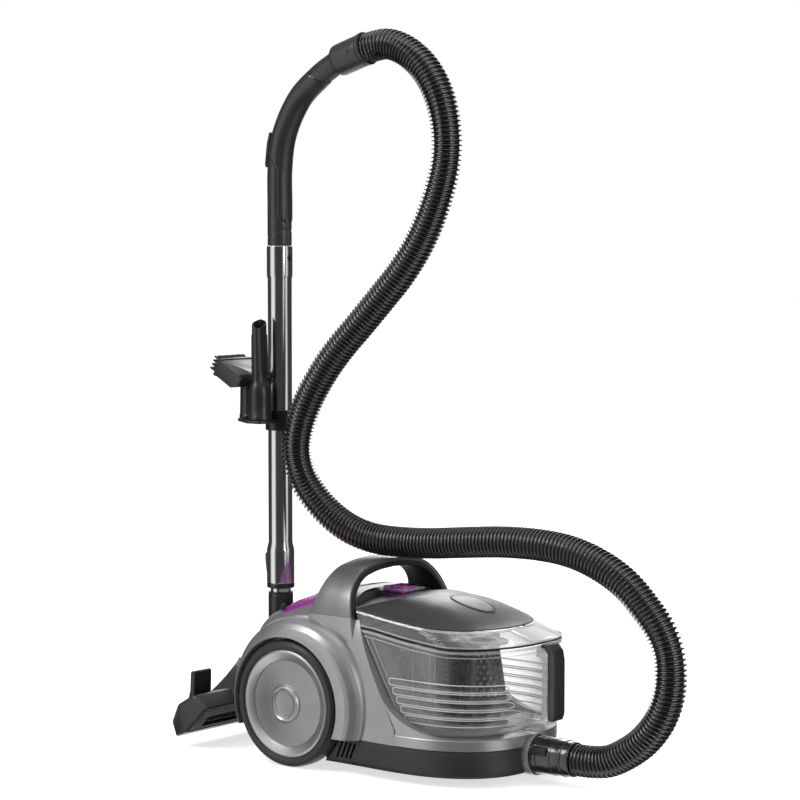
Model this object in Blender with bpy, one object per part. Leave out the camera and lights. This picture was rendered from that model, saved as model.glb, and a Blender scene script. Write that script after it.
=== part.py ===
# Cylinder (canister) vacuum cleaner with a parked telescopic wand.
# Every outline is laid out in one layout frame: X forward, Y to the left-hand
# side, Z up, origin on the floor under the rear axle on the centre plane.
# A root empty shifts the whole object so that its box is centred on the origin.
import bpy, bmesh, math
import numpy as np

for _ob in list(bpy.data.objects):
    bpy.data.objects.remove(_ob, do_unlink=True)

# ------------------------------------------------------------ dimensions (m)
GAP = 0.0004                 # clearance between touching pieces
CENTRE_X = 0.08345            # box centre of the object along X, layout frame
WHEEL_R, WHEEL_OUT, WHEEL_IN = 0.0880, 0.1425, 0.1125
WELL_R, WELL_Y = 0.0925, 0.1065
HUB_R = 0.0742
BASE_Z0, BASE_Z1 = 0.0125, 0.0497
BODY_Z0 = 0.0503
TRAY_Z1 = 0.0655
NOSE_X = 0.3200
SIDE_W = 0.1275
BODY_N = 3.4                 # roundness of the body's cross-section
WAND_X = -0.1300
TUBE_R, TUBE_RI = 0.0175, 0.0165
INNER_R, INNER_RI = 0.0148, 0.0138
RING_Z0, RING_Z1 = 0.2222, 0.2290
GRIP_Z0 = 0.7133
SOCKET_TOP = 0.2163
INLET_Z = 0.0380
HOSE_R = 0.0215
MOTOR_Y, MOTOR_Z = -0.048, 0.105
REEL_X, REEL_Y, REEL_Z = -0.012, 0.055, 0.118
CASTER_X, CASTER_TRAIL, CASTER_R = 0.222, 0.009, 0.014
NECK_X, NECK_Z = -0.168, 0.107       # pitch axis of the floor head
BIN_ANGLE = math.radians(12.0)       # direction in which the bin lifts out
AXIS_X, AXIS_Y, AXIS_Z = (1, 0, 0), (0, 1, 0), (0, 0, 1)

root = bpy.data.objects.new('vacuum_origin', None)
bpy.context.scene.collection.objects.link(root)
root.location = (-CENTRE_X, 0, 0)

# ---------------------------------------------------------------- materials
def material(name, rgb, rough, metal=0.0, alpha=1.0, trans=0.0):
    m = bpy.data.materials.new(name)
    m.use_nodes = True
    b = m.node_tree.nodes['Principled BSDF']
    b.inputs['Base Color'].default_value = (rgb[0], rgb[1], rgb[2], 1)
    b.inputs['Roughness'].default_value = rough
    b.inputs['Metallic'].default_value = metal
    b.inputs['Alpha'].default_value = alpha
    b.inputs['Transmission Weight'].default_value = trans
    return m

M = {
    'silver': material('housing_silver', (0.26, 0.26, 0.27), 0.38, 0.5),
    'dark': material('dark_plastic', (0.042, 0.045, 0.05), 0.5),
    'lid': material('lid_grey', (0.09, 0.09, 0.095), 0.4, 0.5),
    'black': material('black_plastic', (0.012, 0.012, 0.013), 0.4),
    'purple': material('purple_plastic', (0.30, 0.01, 0.30), 0.3),
    'rubber': material('tyre_rubber', (0.04, 0.04, 0.042), 0.6),
    'hub': material('hub_silver', (0.33, 0.33, 0.34), 0.3, 0.7),
    'clear': material('clear_plastic', (0.9, 0.92, 0.93), 0.08, 0.0, 0.35, 0.9),
    'chrome': material('chromed_tube', (0.75, 0.75, 0.76), 0.14, 1.0),
    'hose': material('hose_plastic', (0.01, 0.01, 0.011), 0.25),
    'filter': material('filter_paper', (0.75, 0.75, 0.72), 0.9),
    'foam': material('foam_black', (0.03, 0.03, 0.03), 0.95),
    'steel': material('steel', (0.6, 0.6, 0.6), 0.3, 1.0),
    'copper': material('copper_winding', (0.5, 0.2, 0.08), 0.4, 0.9),
    'board': material('circuit_board', (0.02, 0.15, 0.05), 0.5),
    'badge': material('badge_grey', (0.35, 0.35, 0.36), 0.35, 0.4),
    'red': material('lint_red', (0.45, 0.02, 0.01), 0.9),
    'bristle': material('bristle_black', (0.015, 0.015, 0.015), 0.8),
}

# ------------------------------------------------------------------ helpers
def raw(name, verts, faces):
    me = bpy.data.meshes.new(name)
    me.from_pydata([tuple(float(c) for c in v) for v in verts], [], [tuple(f) for f in faces])
    bm = bmesh.new()
    bm.from_mesh(me)
    bmesh.ops.recalc_face_normals(bm, faces=bm.faces)
    bm.to_mesh(me)
    bm.free()
    ob = bpy.data.objects.new(name, me)
    bpy.context.scene.collection.objects.link(ob)
    return ob

def loft(name, rings, around=True, cap=True):
    """Quads between rings of equal length; around closes first to last ring."""
    n = len(rings[0])
    verts = [p for r in rings for p in r]
    faces = []
    m = len(rings)
    for i in range(m if not cap else m - 1):
        a, b = i * n, ((i + 1) % m) * n
        for j in range(n):
            k = (j + 1) % n
            if around or j < n - 1:
                faces.append((a + j, a + k, b + k, b + j))
    if cap:
        faces.append(tuple(range(n)))
        faces.append(tuple(range((m - 1) * n, m * n)))
    return raw(name, verts, faces)

def basis(axis):
    a = np.array(axis, float)
    a /= np.linalg.norm(a)
    h = np.array((0, 0, 1.0)) if abs(a[2]) < 0.9 else np.array((1.0, 0, 0))
    u = np.cross(h, a)
    u /= np.linalg.norm(u)
    return a, u, np.cross(a, u)

def lathe(name, profile, centre, axis, seg, closed=False, phase=0.5):
    """profile: (radius, distance along axis) pairs. Radius 0 makes a pole."""
    a, u, v = basis(axis)
    c = np.array(centre, float)
    verts, rows = [], []
    for r, d in profile:
        if r < 1e-9:
            rows.append([len(verts)])
            verts.append(c + a * d)
        else:
            rows.append(list(range(len(verts), len(verts) + seg)))
            for k in range(seg):
                t = 2 * math.pi * (k + phase) / seg
                verts.append(c + a * d + (u * math.cos(t) + v * math.sin(t)) * r)
    faces = []
    pairs = list(zip(rows[:-1], rows[1:]))
    if closed:
        pairs.append((rows[-1], rows[0]))
    for p, q in pairs:
        for k in range(seg):
            l = (k + 1) % seg
            if len(p) == 1 and len(q) == 1:
                continue
            if len(p) == 1:
                faces.append((p[0], q[l], q[k]))
            elif len(q) == 1:
                faces.append((p[k], p[l], q[0]))
            else:
                faces.append((p[k], p[l], q[l], q[k]))
    return raw(name, verts, faces)

def cyl(name, p0, p1, r, seg=16):
    p0, p1 = np.array(p0, float), np.array(p1, float)
    d = np.linalg.norm(p1 - p0)
    return lathe(name, [(0, 0), (r, 0), (r, d), (0, d)], p0, p1 - p0, seg)

def pipe(name, p0, p1, r, ri, seg=20):
    p0, p1 = np.array(p0, float), np.array(p1, float)
    d = np.linalg.norm(p1 - p0)
    return lathe(name, [(ri, 0), (r, 0), (r, d), (ri, d)], p0, p1 - p0, seg, closed=True)

def box(name, lo, hi, bevel=0.0, seg=1):
    x0, y0, z0 = lo
    x1, y1, z1 = hi
    v = [(x0, y0, z0), (x1, y0, z0), (x1, y1, z0), (x0, y1, z0),
         (x0, y0, z1), (x1, y0, z1), (x1, y1, z1), (x0, y1, z1)]
    f = [(0, 1, 2, 3), (4, 5, 6, 7), (0, 1, 5, 4), (1, 2, 6, 5), (2, 3, 7, 6), (3, 0, 4, 7)]
    ob = raw(name, v, f)
    if bevel:
        bm = bmesh.new()
        bm.from_mesh(ob.data)
        bmesh.ops.bevel(bm, geom=bm.edges[:], offset=bevel, segments=seg, affect='EDGES', profile=0.5)
        bmesh.ops.recalc_face_normals(bm, faces=bm.faces)
        bm.to_mesh(ob.data)
        bm.free()
    return ob

def prism(name, poly, plane, d0, d1):
    """Extrude a 2-D polygon: plane 'xz' runs along Y, 'xy' along Z, 'yz' along X."""
    def put(p, d):
        return {'xz': (p[0], d, p[1]), 'xy': (p[0], p[1], d), 'yz': (d, p[0], p[1])}[plane]
    return loft(name, [[put(p, d0) for p in poly], [put(p, d1) for p in poly]])

def tube_path(name, pts, radii, inner=None, seg=14, up=(0, 1, 0)):
    """Round tube along points lying in one plane whose normal is up."""
    pts = np.array(pts, float)
    n = len(pts)
    tan = np.gradient(pts, axis=0)
    upv = np.array(up, float)
    def rings(rad):
        out = []
        for i in range(n):
            t = tan[i] / np.linalg.norm(tan[i])
            s = upv
            w = np.cross(t, s)
            r = rad[i] if hasattr(rad, '__len__') else rad
            out.append([pts[i] + (s * math.cos(2 * math.pi * (k + .5) / seg) + w * math.sin(2 * math.pi * (k + .5) / seg)) * r
                        for k in range(seg)])
        return out
    outer = rings(radii)
    if inner is None:
        return loft(name, outer)
    return loft(name, outer + rings(inner)[::-1], cap=False)

def boolean(ob, cutter, op='DIFFERENCE', keep=False):
    m = ob.modifiers.new('cut', 'BOOLEAN')
    m.operation, m.object, m.solver = op, cutter, 'EXACT'
    bpy.context.view_layer.update()
    dg = bpy.context.evaluated_depsgraph_get()
    me = bpy.data.meshes.new_from_object(ob.evaluated_get(dg))
    ob.modifiers.clear()
    ob.data = me
    if not keep:
        bpy.data.objects.remove(cutter, do_unlink=True)
    return ob

def cut(ob, *cutters):
    for c in cutters:
        boolean(ob, c, 'DIFFERENCE')
    return ob

def add(ob, *others):
    for c in others:
        boolean(ob, c, 'UNION')
    return ob

def copy_of(ob, name):
    o = bpy.data.objects.new(name, ob.data.copy())
    bpy.context.scene.collection.objects.link(o)
    return o

def smooth_line(pts, per=6):
    """Catmull-Rom curve through the points."""
    p = np.array(pts, float)
    p = np.vstack([2 * p[0] - p[1], p, 2 * p[-1] - p[-2]])
    out = []
    for i in range(1, len(p) - 2):
        for k in range(per):
            t = k / per
            out.append(0.5 * ((2 * p[i]) + (-p[i - 1] + p[i + 1]) * t
                              + (2 * p[i - 1] - 5 * p[i] + 4 * p[i + 1] - p[i + 2]) * t * t
                              + (-p[i - 1] + 3 * p[i] - 3 * p[i + 1] + p[i + 2]) * t ** 3))
    out.append(p[-2])
    return np.array(out)

def at(xs, ys):
    return lambda x: float(np.interp(x, xs, ys))

PIECES = {}
def finish(ob, name, mat, origin=(0, 0, 0), smooth=35):
    ob.name = name
    ob.data.name = name
    ob.data.materials.clear()
    ob.data.materials.append(M[mat])
    bm = bmesh.new()
    bm.from_mesh(ob.data)
    bmesh.ops.remove_doubles(bm, verts=bm.verts, dist=2e-6)
    bmesh.ops.dissolve_degenerate(bm, edges=bm.edges, dist=2e-6)
    bmesh.ops.translate(bm, verts=bm.verts, vec=[-c for c in origin])
    bm.to_mesh(ob.data)
    bm.free()
    ob.data.shade_smooth()
    ob.data.set_sharp_from_angle(angle=math.radians(smooth))
    ob.parent = root
    ob.location = origin
    PIECES[name] = ob
    return ob

# ------------------------------------------------------------ body surfaces
BODY_X = [-0.106, -0.102, -0.094, -0.080, -0.050, 0.000, 0.030, 0.060, 0.100, 0.180]
BODY_W = [0.080, 0.094, 0.104, 0.110, 0.1145, 0.1180, 0.1195, 0.1210, 0.1240, 0.1270]
BODY_T = [0.168, 0.186, 0.196, 0.204, 0.2155, 0.2320, 0.2390, 0.2405, 0.2380, 0.2250]
body_w, body_top = at(BODY_X, BODY_W), at(BODY_X, BODY_T)

def deck(x, y):
    h = body_top(x) - BODY_Z0
    r = min(0.999, abs(y) / body_w(x))
    return BODY_Z0 + h * (1 - r ** BODY_N) ** (1 / BODY_N)

def section(x, w, top, z0, n, bottom=None):
    pts = []
    for k in range(n + 1):
        t = math.pi * k / n
        c, s = math.cos(t), math.sin(t)
        y = -w * math.copysign(abs(c) ** (2 / BODY_N), c)
        z = z0 + (top - z0) * abs(s) ** (2 / BODY_N)
        pts.append((x, y, z))
    if bottom is not None:
        pts = [(x, -w, bottom)] + pts + [(x, w, bottom)]
    return pts

def bulk(z):
    """X of the slanted bulkhead between the body and the dust bin."""
    return 0.178 - 0.5556 * (z - 0.075)

def front_outline(w, xr, xs, xf, n=10, p=2.4, corner=0.006):
    """Plan outline with a straight back at xr and a rounded front at xf."""
    pts = [(xr + corner, -w), (xs, -w)]
    for k in range(1, n):
        t = -math.pi / 2 + math.pi * k / n
        pts.append((xs + (xf - xs) * abs(math.cos(t)) ** (2 / p),
                    w * math.copysign(abs(math.sin(t)) ** (2 / p), math.sin(t))))
    pts += [(xs, w), (xr + corner, w), (xr, w - corner), (xr, -w + corner)]
    return pts

def base_outline(off=0.0, x_back=-0.096):
    w = SIDE_W + off
    pts = front_outline(w, 0.045 - 0, 0.160, NOSE_X + off, 12, 2.6, 0.0)[:-4]
    pts = [(0.045, -w)] + pts[1:]
    pts += [(0.160, w), (0.045, w)]
    wi = 0.104 + off
    pts += [(0.045, wi), (-0.075, wi), (-0.090, 0.092 + off), (x_back - off, 0.070),
            (x_back - off, -0.070), (-0.090, -0.092 - off), (-0.075, -wi), (0.045, -wi)]
    return pts

# ------------------------------------------------------------- base chassis
def well(side, r=WELL_R, y0=WELL_Y, y1=0.17, seg=28):
    return cyl('well', (0, side * y0, WHEEL_R), (0, side * y1, WHEEL_R), r, seg)

rings = []
for z, off in ((BASE_Z0, -0.006), (0.0165, -0.0015), (0.023, 0.0), (BASE_Z1, 0.0)):
    rings.append([(x, y, z) for x, y in base_outline(off)])
base = loft('base', rings)
tray = [(0.105, -0.1235)] + [p for p in front_outline(0.1235, 0.105, 0.160, NOSE_X - 0.004, 12, 2.6, 0.0)[1:-4]]
tray += [(0.160, 0.1235), (0.105, 0.1235), (0.100, 0.1010), (-0.074, 0.1010), (-0.088, 0.089), (-0.093, 0.068),
         (-0.093, -0.068), (-0.088, -0.089), (-0.074, -0.1010), (0.100, -0.1010)]
cut(base, prism('c', tray, 'xy', 0.0155, 0.08))
add(base, cyl('boss', (CASTER_X, 0, 0.0140), (CASTER_X, 0, 0.0490), 0.0315, 20))
cut(base, cyl('c', (CASTER_X, 0, 0.0), (CASTER_X, 0, 0.0445), 0.0285, 20),
    cyl('c', (CASTER_X, 0, 0.02), (CASTER_X, 0, 0.08), 0.0056, 12),
    well(1), well(-1),
    cyl('c', (0.2615, 0, INLET_Z), (0.36, 0, INLET_Z), 0.0290, 24), cyl('c', (0.3034, 0, INLET_Z), (0.36, 0, INLET_Z), 0.0298, 24))
for side in (-1, 1):                                  # slanted cooling slots
    for k in range(4):
        x = 0.086 + 0.0085 * k
        cut(base, prism('c', [(x, 0.024), (x + 0.0042, 0.024), (x + 0.0132, 0.044), (x + 0.009, 0.044)], 'xz',
                        side * 0.112, side * 0.14))
finish(base, 'base_chassis', 'dark')

# ------------------------------------------------------------- main housing
body = loft('body', [section(x, w, t, BODY_Z0, 16) for x, w, t in zip(BODY_X, BODY_W, BODY_T)])
front = prism('c', [(bulk(TRAY_Z1), TRAY_Z1), (bulk(0.32), 0.32), (0.6, 0.32), (0.6, TRAY_Z1)], 'xz', -0.2, 0.2)
cut(body, front)
plate_out = [(0.090, -SIDE_W - 0.001)] + [p for p in front_outline(SIDE_W + 0.001, 0.09, 0.160, NOSE_X + 0.001, 12, 2.6, 0.0)[1:-4]]
plate_out += [(0.160, SIDE_W + 0.001), (0.090, SIDE_W + 0.001)]
add(body, prism('plate', plate_out, 'xy', BODY_Z0, TRAY_Z1))
for side in (-1, 1):                                  # fenders around the rear wheels
    fender = lathe('fender', [(0, 0.100), (0.1185, 0.100), (0.1180, 0.1210), (0.1155, 0.1290), (0.1100, 0.1360),
                              (0.1030, 0.1408), (0.0950, 0.1432), (0, 0.1432)], (0.0115, 0, 0.0895), (0, side, 0), 30)
    cut(fender, box('c', (-0.3, -0.3, -0.3), (0.3, 0.3, BODY_Z0)))
    add(body, fender)
# shoulders that carry the feet of the handle arch
HANDLE_PATH = [(0.1165, 0.160), (0.1165, 0.190), (0.1135, 0.2130), (0.1085, 0.2300), (0.1000, 0.2470),
               (0.0860, 0.2620), (0.0660, 0.2735), (0.0350, 0.2800), (0.0, 0.2822)]
SPLIT_Z = 0.2130
def arch_sheet(name, t0, t1, x_of, per=3):
    """Arched strip; t0 and t1 are depths below the outer surface, x_of(z) gives (back, front)."""
    half = smooth_line(HANDLE_PATH, per)
    path = np.vstack([half * [-1, 1], half[::-1][1:]])
    tan = np.gradient(path, axis=0)
    rings = []
    for (y, z), (ty, tz) in zip(path, tan):
        l = math.hypot(ty, tz)
        ny, nz = -tz / l, ty / l                      # outward
        x0, x1 = x_of(z)
        a = (y - ny * t0, z - nz * t0)
        b = (y - ny * t1, z - nz * t1)
        rings.append([(x0, a[0], a[1]), (x1, a[0], a[1]), (x1, b[0], b[1]), (x0, b[0], b[1])])
    return loft(name, rings)
zx = [0.16, 0.213, 0.240, 0.262, 0.275, 0.2825]
arch_x = lambda z: (float(np.interp(z, zx, [0.010, 0.020, 0.028, 0.032, 0.034, 0.035])),
                    float(np.interp(z, zx, [0.104, 0.094, 0.086, 0.081, 0.079, 0.078])))
pads = arch_sheet('pads', 0.0, 0.012, arch_x)
cut(pads, box('c', (-1, -1, SPLIT_Z - 0.0003), (1, 1, 1)))
# two separate pads: take them one side at a time
for side in (-1, 1):
    pad = copy_of(pads, 'pad')
    cut(pad, box('c', (-1, -1 if side > 0 else 0, -1), (1, 0 if side > 0 else 1, 1)))
    add(body, pad)
bpy.data.objects.remove(pads, do_unlink=True)
# cavity, open underneath
cx = [-0.1025, -0.098, -0.090, -0.078, -0.048, 0.000, 0.030, 0.060, 0.100, 0.178]
cavity = loft('cavity', [section(x, min(body_w(x) - 0.0035, 0.1030), body_top(x) - 0.0035, BODY_Z0, 10, 0.03) for x in cx])
cut(cavity, prism('c', [(bulk(0.02) - 0.0035, 0.02), (bulk(0.32) - 0.0035, 0.32), (0.6, 0.32), (0.6, 0.02)], 'xz', -0.2, 0.2))
LID_W, LID_XF = 0.1040, 0.3120
def lid_outline(off, n=12):
    w = LID_W + off
    xs, xf = 0.200, LID_XF + off
    pts = [(0.0945 - off, -w), (xs, -w)]
    for k in range(1, n):
        t = -math.pi / 2 + math.pi * k / n
        pts.append((xs + (xf - xs) * abs(math.cos(t)) ** (2 / 2.4), w * math.copysign(abs(math.sin(t)) ** (2 / 2.4), math.sin(t))))
    pts += [(xs, w), (0.0945 - off, w)]
    for k in range(1, 8):                             # curved rear edge
        y = w * (1 - 2 * k / 8)
        pts.append((0.058 - off + 0.0365 * (y / w) ** 2, y))
    return pts
cut(cavity, prism('c', lid_outline(0.0040), 'xy', 0.1990, 0.30))
cut(body, cavity, prism('c', lid_outline(0.0008), 'xy', 0.2028, 0.30), well(1), well(-1))
cut(body, cyl('c', (0.2615, 0, INLET_Z), (0.36, 0, INLET_Z), 0.0290, 24), cyl('c', (0.3034, 0, INLET_Z), (0.36, 0, INLET_Z), 0.0298, 24),
    cyl('c', (0.05, -0.045, 0.135), (0.20, -0.045, 0.135), 0.021, 16),
    box('c', (-0.13, -0.0450, 0.0700), (-0.096, 0.0450, 0.1300)),
    cyl('c', (-0.13, 0.066, 0.10), (-0.09, 0.066, 0.10), 0.0058, 12),
    box('c', (-0.13, -0.0125, 0.160), (-0.0870, 0.0125, 0.26)))
# pedal openings in the deck
PEDAL_C, PEDAL_A, PEDAL_B = (-0.028, 0.0585), 0.0490, 0.0385
def pedal_outline(side, off, n=5, r=0.014):
    pts = []
    for qx, qy in ((1, -1), (1, 1), (-1, 1), (-1, -1)):
        for k in range(n):
            t = math.pi / 2 * k / (n - 1)
            base_a = {(1, -1): -math.pi / 2, (1, 1): 0, (-1, 1): math.pi / 2, (-1, -1): math.pi}[(qx, qy)]
            pts.append((PEDAL_C[0] + qx * (PEDAL_A - r) + (r + off) * math.cos(base_a + t),
                        side * PEDAL_C[1] + qy * (PEDAL_B - r) + (r + off) * math.sin(base_a + t)))
    return pts
for side in (-1, 1):
    cut(body, prism('c', pedal_outline(side, 0.0006), 'xy', 0.16, 0.30))
finish(body, 'main_housing', 'silver')

# pedals: crowned caps that follow the deck
def pedal(name, side):
    edge = pedal_outline(side, 0.0)
    cxp, cyp = PEDAL_C[0], side * PEDAL_C[1]
    rings = []
    for s, dz in ((1.0, -0.0065), (1.0, 0.0008), (0.93, 0.0026), (0.6, 0.0038), (0.25, 0.0042)):
        rings.append([(cxp + (x - cxp) * s, cyp + (y - cyp) * s,
                       deck(cxp + (x - cxp) * s, cyp + (y - cyp) * s) + dz) for x, y in edge])
    ob = loft(name, rings)
    bm = bmesh.new()                                  # flat underside so that the cap stays planar
    bm.from_mesh(ob.data)
    bm.to_mesh(ob.data)
    bm.free()
    return ob
def shell_pedal(name, side):
    edge = pedal_outline(side, 0.0)
    n = len(edge)
    cxp, cyp = PEDAL_C[0], side * PEDAL_C[1]
    verts, faces = [], []
    levels = ((1.0, 0.0008), (0.93, 0.0026), (0.6, 0.0038), (0.3, 0.0042))
    for s, dz in levels:
        for x, y in edge:
            X, Y = cxp + (x - cxp) * s, cyp + (y - cyp) * s
            verts.append((X, Y, deck(X, Y) + dz))
    verts.append((cxp, cyp, deck(cxp, cyp) + 0.0043))
    top = len(verts) - 1
    for i in range(len(levels) - 1):
        for j in range(n):
            k = (j + 1) % n
            faces.append((i * n + j, i * n + k, (i + 1) * n + k, (i + 1) * n + j))
    b = (len(levels) - 1) * n
    for j in range(n):
        faces.append((b + j, b + (j + 1) % n, top))
    off = len(verts)
    for s, dz in ((1.0, -0.0060), (0.6, -0.0060)):
        for x, y in edge:
            X, Y = cxp + (x - cxp) * s, cyp + (y - cyp) * s
            verts.append((X, Y, deck(X, Y) + dz))
    verts.append((cxp, cyp, deck(cxp, cyp) - 0.0060))
    bot = len(verts) - 1
    for j in range(n):
        k = (j + 1) % n
        faces.append((j, k, off + k, off + j))
        faces.append((off + j, off + k, off + n + k, off + n + j))
        faces.append((off + n + j, off + n + k, bot))
    return raw(name, verts, faces)
for side, nm in ((-1, 'power_pedal'), (1, 'rewind_pedal')):
    finish(shell_pedal(nm, side), nm, 'purple', (PEDAL_C[0], side * PEDAL_C[1], 0.21))

# ------------------------------------------------------------- carry handle
def split_arch(name, t0, t1, xf):
    ob = arch_sheet(name, t0, t1, xf)
    return cut(ob, box('c', (-1, -1, -1), (1, 1, SPLIT_Z)))
finish(split_arch('h', 0.0, 0.0058, arch_x), 'carry_handle', 'silver')
liner_x = lambda z: (arch_x(z)[0] + 0.0015, arch_x(z)[1] + 0.0015)
finish(split_arch('h', 0.0062, 0.0120, liner_x), 'handle_liner', 'dark')

# ------------------------------------------------------------ rear of body
grille = box('g', (-0.1066, -0.0445, 0.0705), (-0.1022, 0.0445, 0.1295))
for k in range(6):
    z = 0.076 + 0.0086 * k
    cut(grille, box('c', (-0.12, -0.038, z), (-0.09, 0.038, z + 0.0044)))
finish(grille, 'exhaust_grille', 'dark')
finish(box('f', (-0.1016, -0.0440, 0.0700), (-0.0870, 0.0440, 0.1300), 0.0012), 'exhaust_filter', 'filter')
bracket = box('b', (-0.0998, -0.0121, 0.1604), (-0.0876, 0.0121, 0.2030))
cut(bracket, box('c', (-0.12, -0.0072, 0.1700), (-0.0925, 0.0072, 0.25)))
finish(bracket, 'parking_bracket', 'dark')
finish(lathe('gland', [(0.0036, -0.0060), (0.0054, -0.0060), (0.0054, 0.0064), (0.0090, 0.0064), (0.0080, 0.0092),
                       (0.0036, 0.0092)], (-0.100, 0.066, 0.10), (-1, 0, 0), 16, closed=True), 'cord_outlet', 'black')

# ------------------------------------------------------------- rear wheels
def wheel(side, tag):
    tyre = lathe('t', [(HUB_R + GAP, 0.1150), (0.0800, 0.1125), (0.0860, 0.1145), (0.0880, 0.1200), (0.0880, 0.1330),
                       (0.0858, 0.1392), (0.0810, 0.1425), (0.0768, 0.1425), (HUB_R + GAP, 0.1400)],
                 (0, 0, WHEEL_R), (0, side, 0), 28, closed=True, phase=0)
    finish(tyre, tag + '_tyre', 'rubber', (0, side * 0.1275, WHEEL_R))
    hub = lathe('h', [(0, 0.1375), (0.0170, 0.1375), (0.0195, 0.1408), (0.0225, 0.1408), (0.0260, 0.1370),
                      (0.0590, 0.1372), (0.0715, 0.1420), (HUB_R, 0.1415), (HUB_R, 0.1160), (0.0700, 0.1160),
                      (0.0680, 0.1330), (0.0120, 0.1320), (0.0120, 0.1092), (0.0056, 0.1092), (0.0056, 0.1352), (0, 0.1352)],
                (0, 0, WHEEL_R), (0, side, 0), 28, phase=0)
    finish(hub, tag + '_hub', 'hub', (0, side * 0.1275, WHEEL_R))
    axle = lathe('a', [(0, 0.1069), (0.0150, 0.1069), (0.0150, 0.1086), (0.0050, 0.1086), (0.0050, 0.1345), (0, 0.1345)],
                 (0, 0, WHEEL_R), (0, side, 0), 16)
    finish(axle, tag + '_axle', 'steel', (0, side * 0.12, WHEEL_R))
wheel(-1, 'right_wheel')
wheel(1, 'left_wheel')

# ------------------------------------------------------------------- caster
cwx = CASTER_X - CASTER_TRAIL
fork = lathe('f', [(0, 0.0380), (0.0200, 0.0380), (0.0200, 0.0432), (0.0052, 0.0432), (0.0052, 0.0480), (0, 0.0480)],
             (CASTER_X, 0, 0), AXIS_Z, 16)
for s in (-1, 1):
    add(fork, box('l', (cwx - 0.0050, s * 0.0095 - 0.0018, 0.0085), (cwx + 0.0050, s * 0.0095 + 0.0018, 0.0395)))
cut(fork, cyl('c', (cwx, -0.02, CASTER_R), (cwx, 0.02, CASTER_R), 0.0022, 10))
finish(fork, 'caster_fork', 'black', (CASTER_X, 0, 0.0405))
finish(lathe('w', [(0.0023, -0.0060), (0.0120, -0.0060), (CASTER_R, -0.0042), (CASTER_R, 0.0042), (0.0120, 0.0060), (0.0023, 0.0060)],
             (cwx, 0, CASTER_R), AXIS_Y, 16, closed=True, phase=0), 'caster_wheel', 'rubber', (cwx, 0, CASTER_R))
finish(cyl('p', (cwx, -0.0125, CASTER_R), (cwx, 0.0125, CASTER_R), 0.0018, 10), 'caster_pin', 'steel', (cwx, 0, CASTER_R))

# ---------------------------------------------------- motor, reel, electrics
mc = (0, MOTOR_Y, MOTOR_Z)
finish(lathe('m', [(0.0440, -0.0450), (0.0470, -0.0450), (0.0470, 0.0600), (0.0180, 0.0600), (0.0180, 0.0572), (0.0440, 0.0572)],
             mc, AXIS_X, 18, closed=True), 'motor_casing', 'black', mc)
finish(lathe('m', [(0.0265, -0.0400), (0.0425, -0.0400), (0.0425, -0.0040), (0.0265, -0.0040)], mc, AXIS_X, 18, closed=True),
       'motor_stator', 'steel', mc)
finish(lathe('m', [(0, -0.0500), (0.0040, -0.0500), (0.0040, -0.0360), (0.0240, -0.0360), (0.0240, -0.0080), (0.0040, -0.0080),
                   (0.0040, 0.0200), (0.0400, 0.0220), (0.0400, 0.0240), (0.0150, 0.0260), (0.0130, 0.0420), (0, 0.0440)], mc, AXIS_X, 14),
       'motor_rotor', 'copper', mc)
flt = box('f', (-0.0055, -0.0380, -0.0380), (0.0055, 0.0380, 0.0380), 0.001)
ang = -math.atan(0.5556)
for v in flt.data.vertices:
    x, z = v.co.x, v.co.z
    v.co.x = x * math.cos(ang) + z * math.sin(ang)
    v.co.z = -x * math.sin(ang) + z * math.cos(ang)
for v in flt.data.vertices:
    v.co.x += 0.1250
    v.co.y += -0.048
    v.co.z += 0.130
finish(flt, 'motor_filter', 'foam', (0.1250, -0.048, 0.130))
rc = (REEL_X, REEL_Y, REEL_Z)
finish(lathe('r', [(0.0056, -0.0250), (0.0600, -0.0250), (0.0600, -0.0232), (0.0280, -0.0232), (0.0280, 0.0232), (0.0600, 0.0232),
                   (0.0600, 0.0250), (0.0056, 0.0250)], rc, AXIS_Y, 18, closed=True), 'cord_reel', 'black', rc)
finish(lathe('r', [(0, -0.0270), (0.0050, -0.0270), (0.0050, 0.0256), (0.0160, 0.0256), (0.0160, 0.0285), (0, 0.0285)], rc, AXIS_Y, 14),
       'reel_axle', 'steel', rc)
finish(box('s', (-0.0400, -0.0700, 0.1660), (-0.0160, -0.0460, 0.1980), 0.001), 'power_switch', 'black', (-0.028, -0.058, 0.18))
finish(box('s', (0.0550, 0.0150, 0.1300), (0.0566, 0.0850, 0.1900)), 'control_board', 'board', (0.056, 0.05, 0.16))

# -------------------------------------------------------------- air inlet
duct = lathe('d', [(0, -0.0415), (0.0280, -0.0415), (0.0280, 0), (0.0225, 0), (0.0225, -0.0390), (0, -0.0390)], (0.3036, 0, INLET_Z), AXIS_X, 20)
cut(duct, cyl('c', (0.277, 0, 0.045), (0.277, 0, 0.08), 0.0110, 14))
finish(duct, 'inlet_duct', 'silver', (0.3036, 0, INLET_Z))
finish(lathe('r', [(0.0268, 0.0), (0.0280, 0.0), (0.0288, 0.0015), (0.0288, 0.0225), (0.0280, 0.0245), (0.0268, 0.0245)],
             (0.3040, 0, INLET_Z), AXIS_X, 24, closed=True), 'inlet_ring', 'silver', (0.304, 0, INLET_Z))
HOSE_X = 0.3880
conn = lathe('c', [(0.0185, 0.0), (0.0262, 0.0), (0.0264, 0.0280), (0.0256, 0.0330), (0.0250, 0.0600), (0.0238, 0.0830), (0.0225, 0.0835),
                   (0.0185, 0.0835)], (0.3045, 0, INLET_Z), AXIS_X, 22, closed=True)
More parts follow.
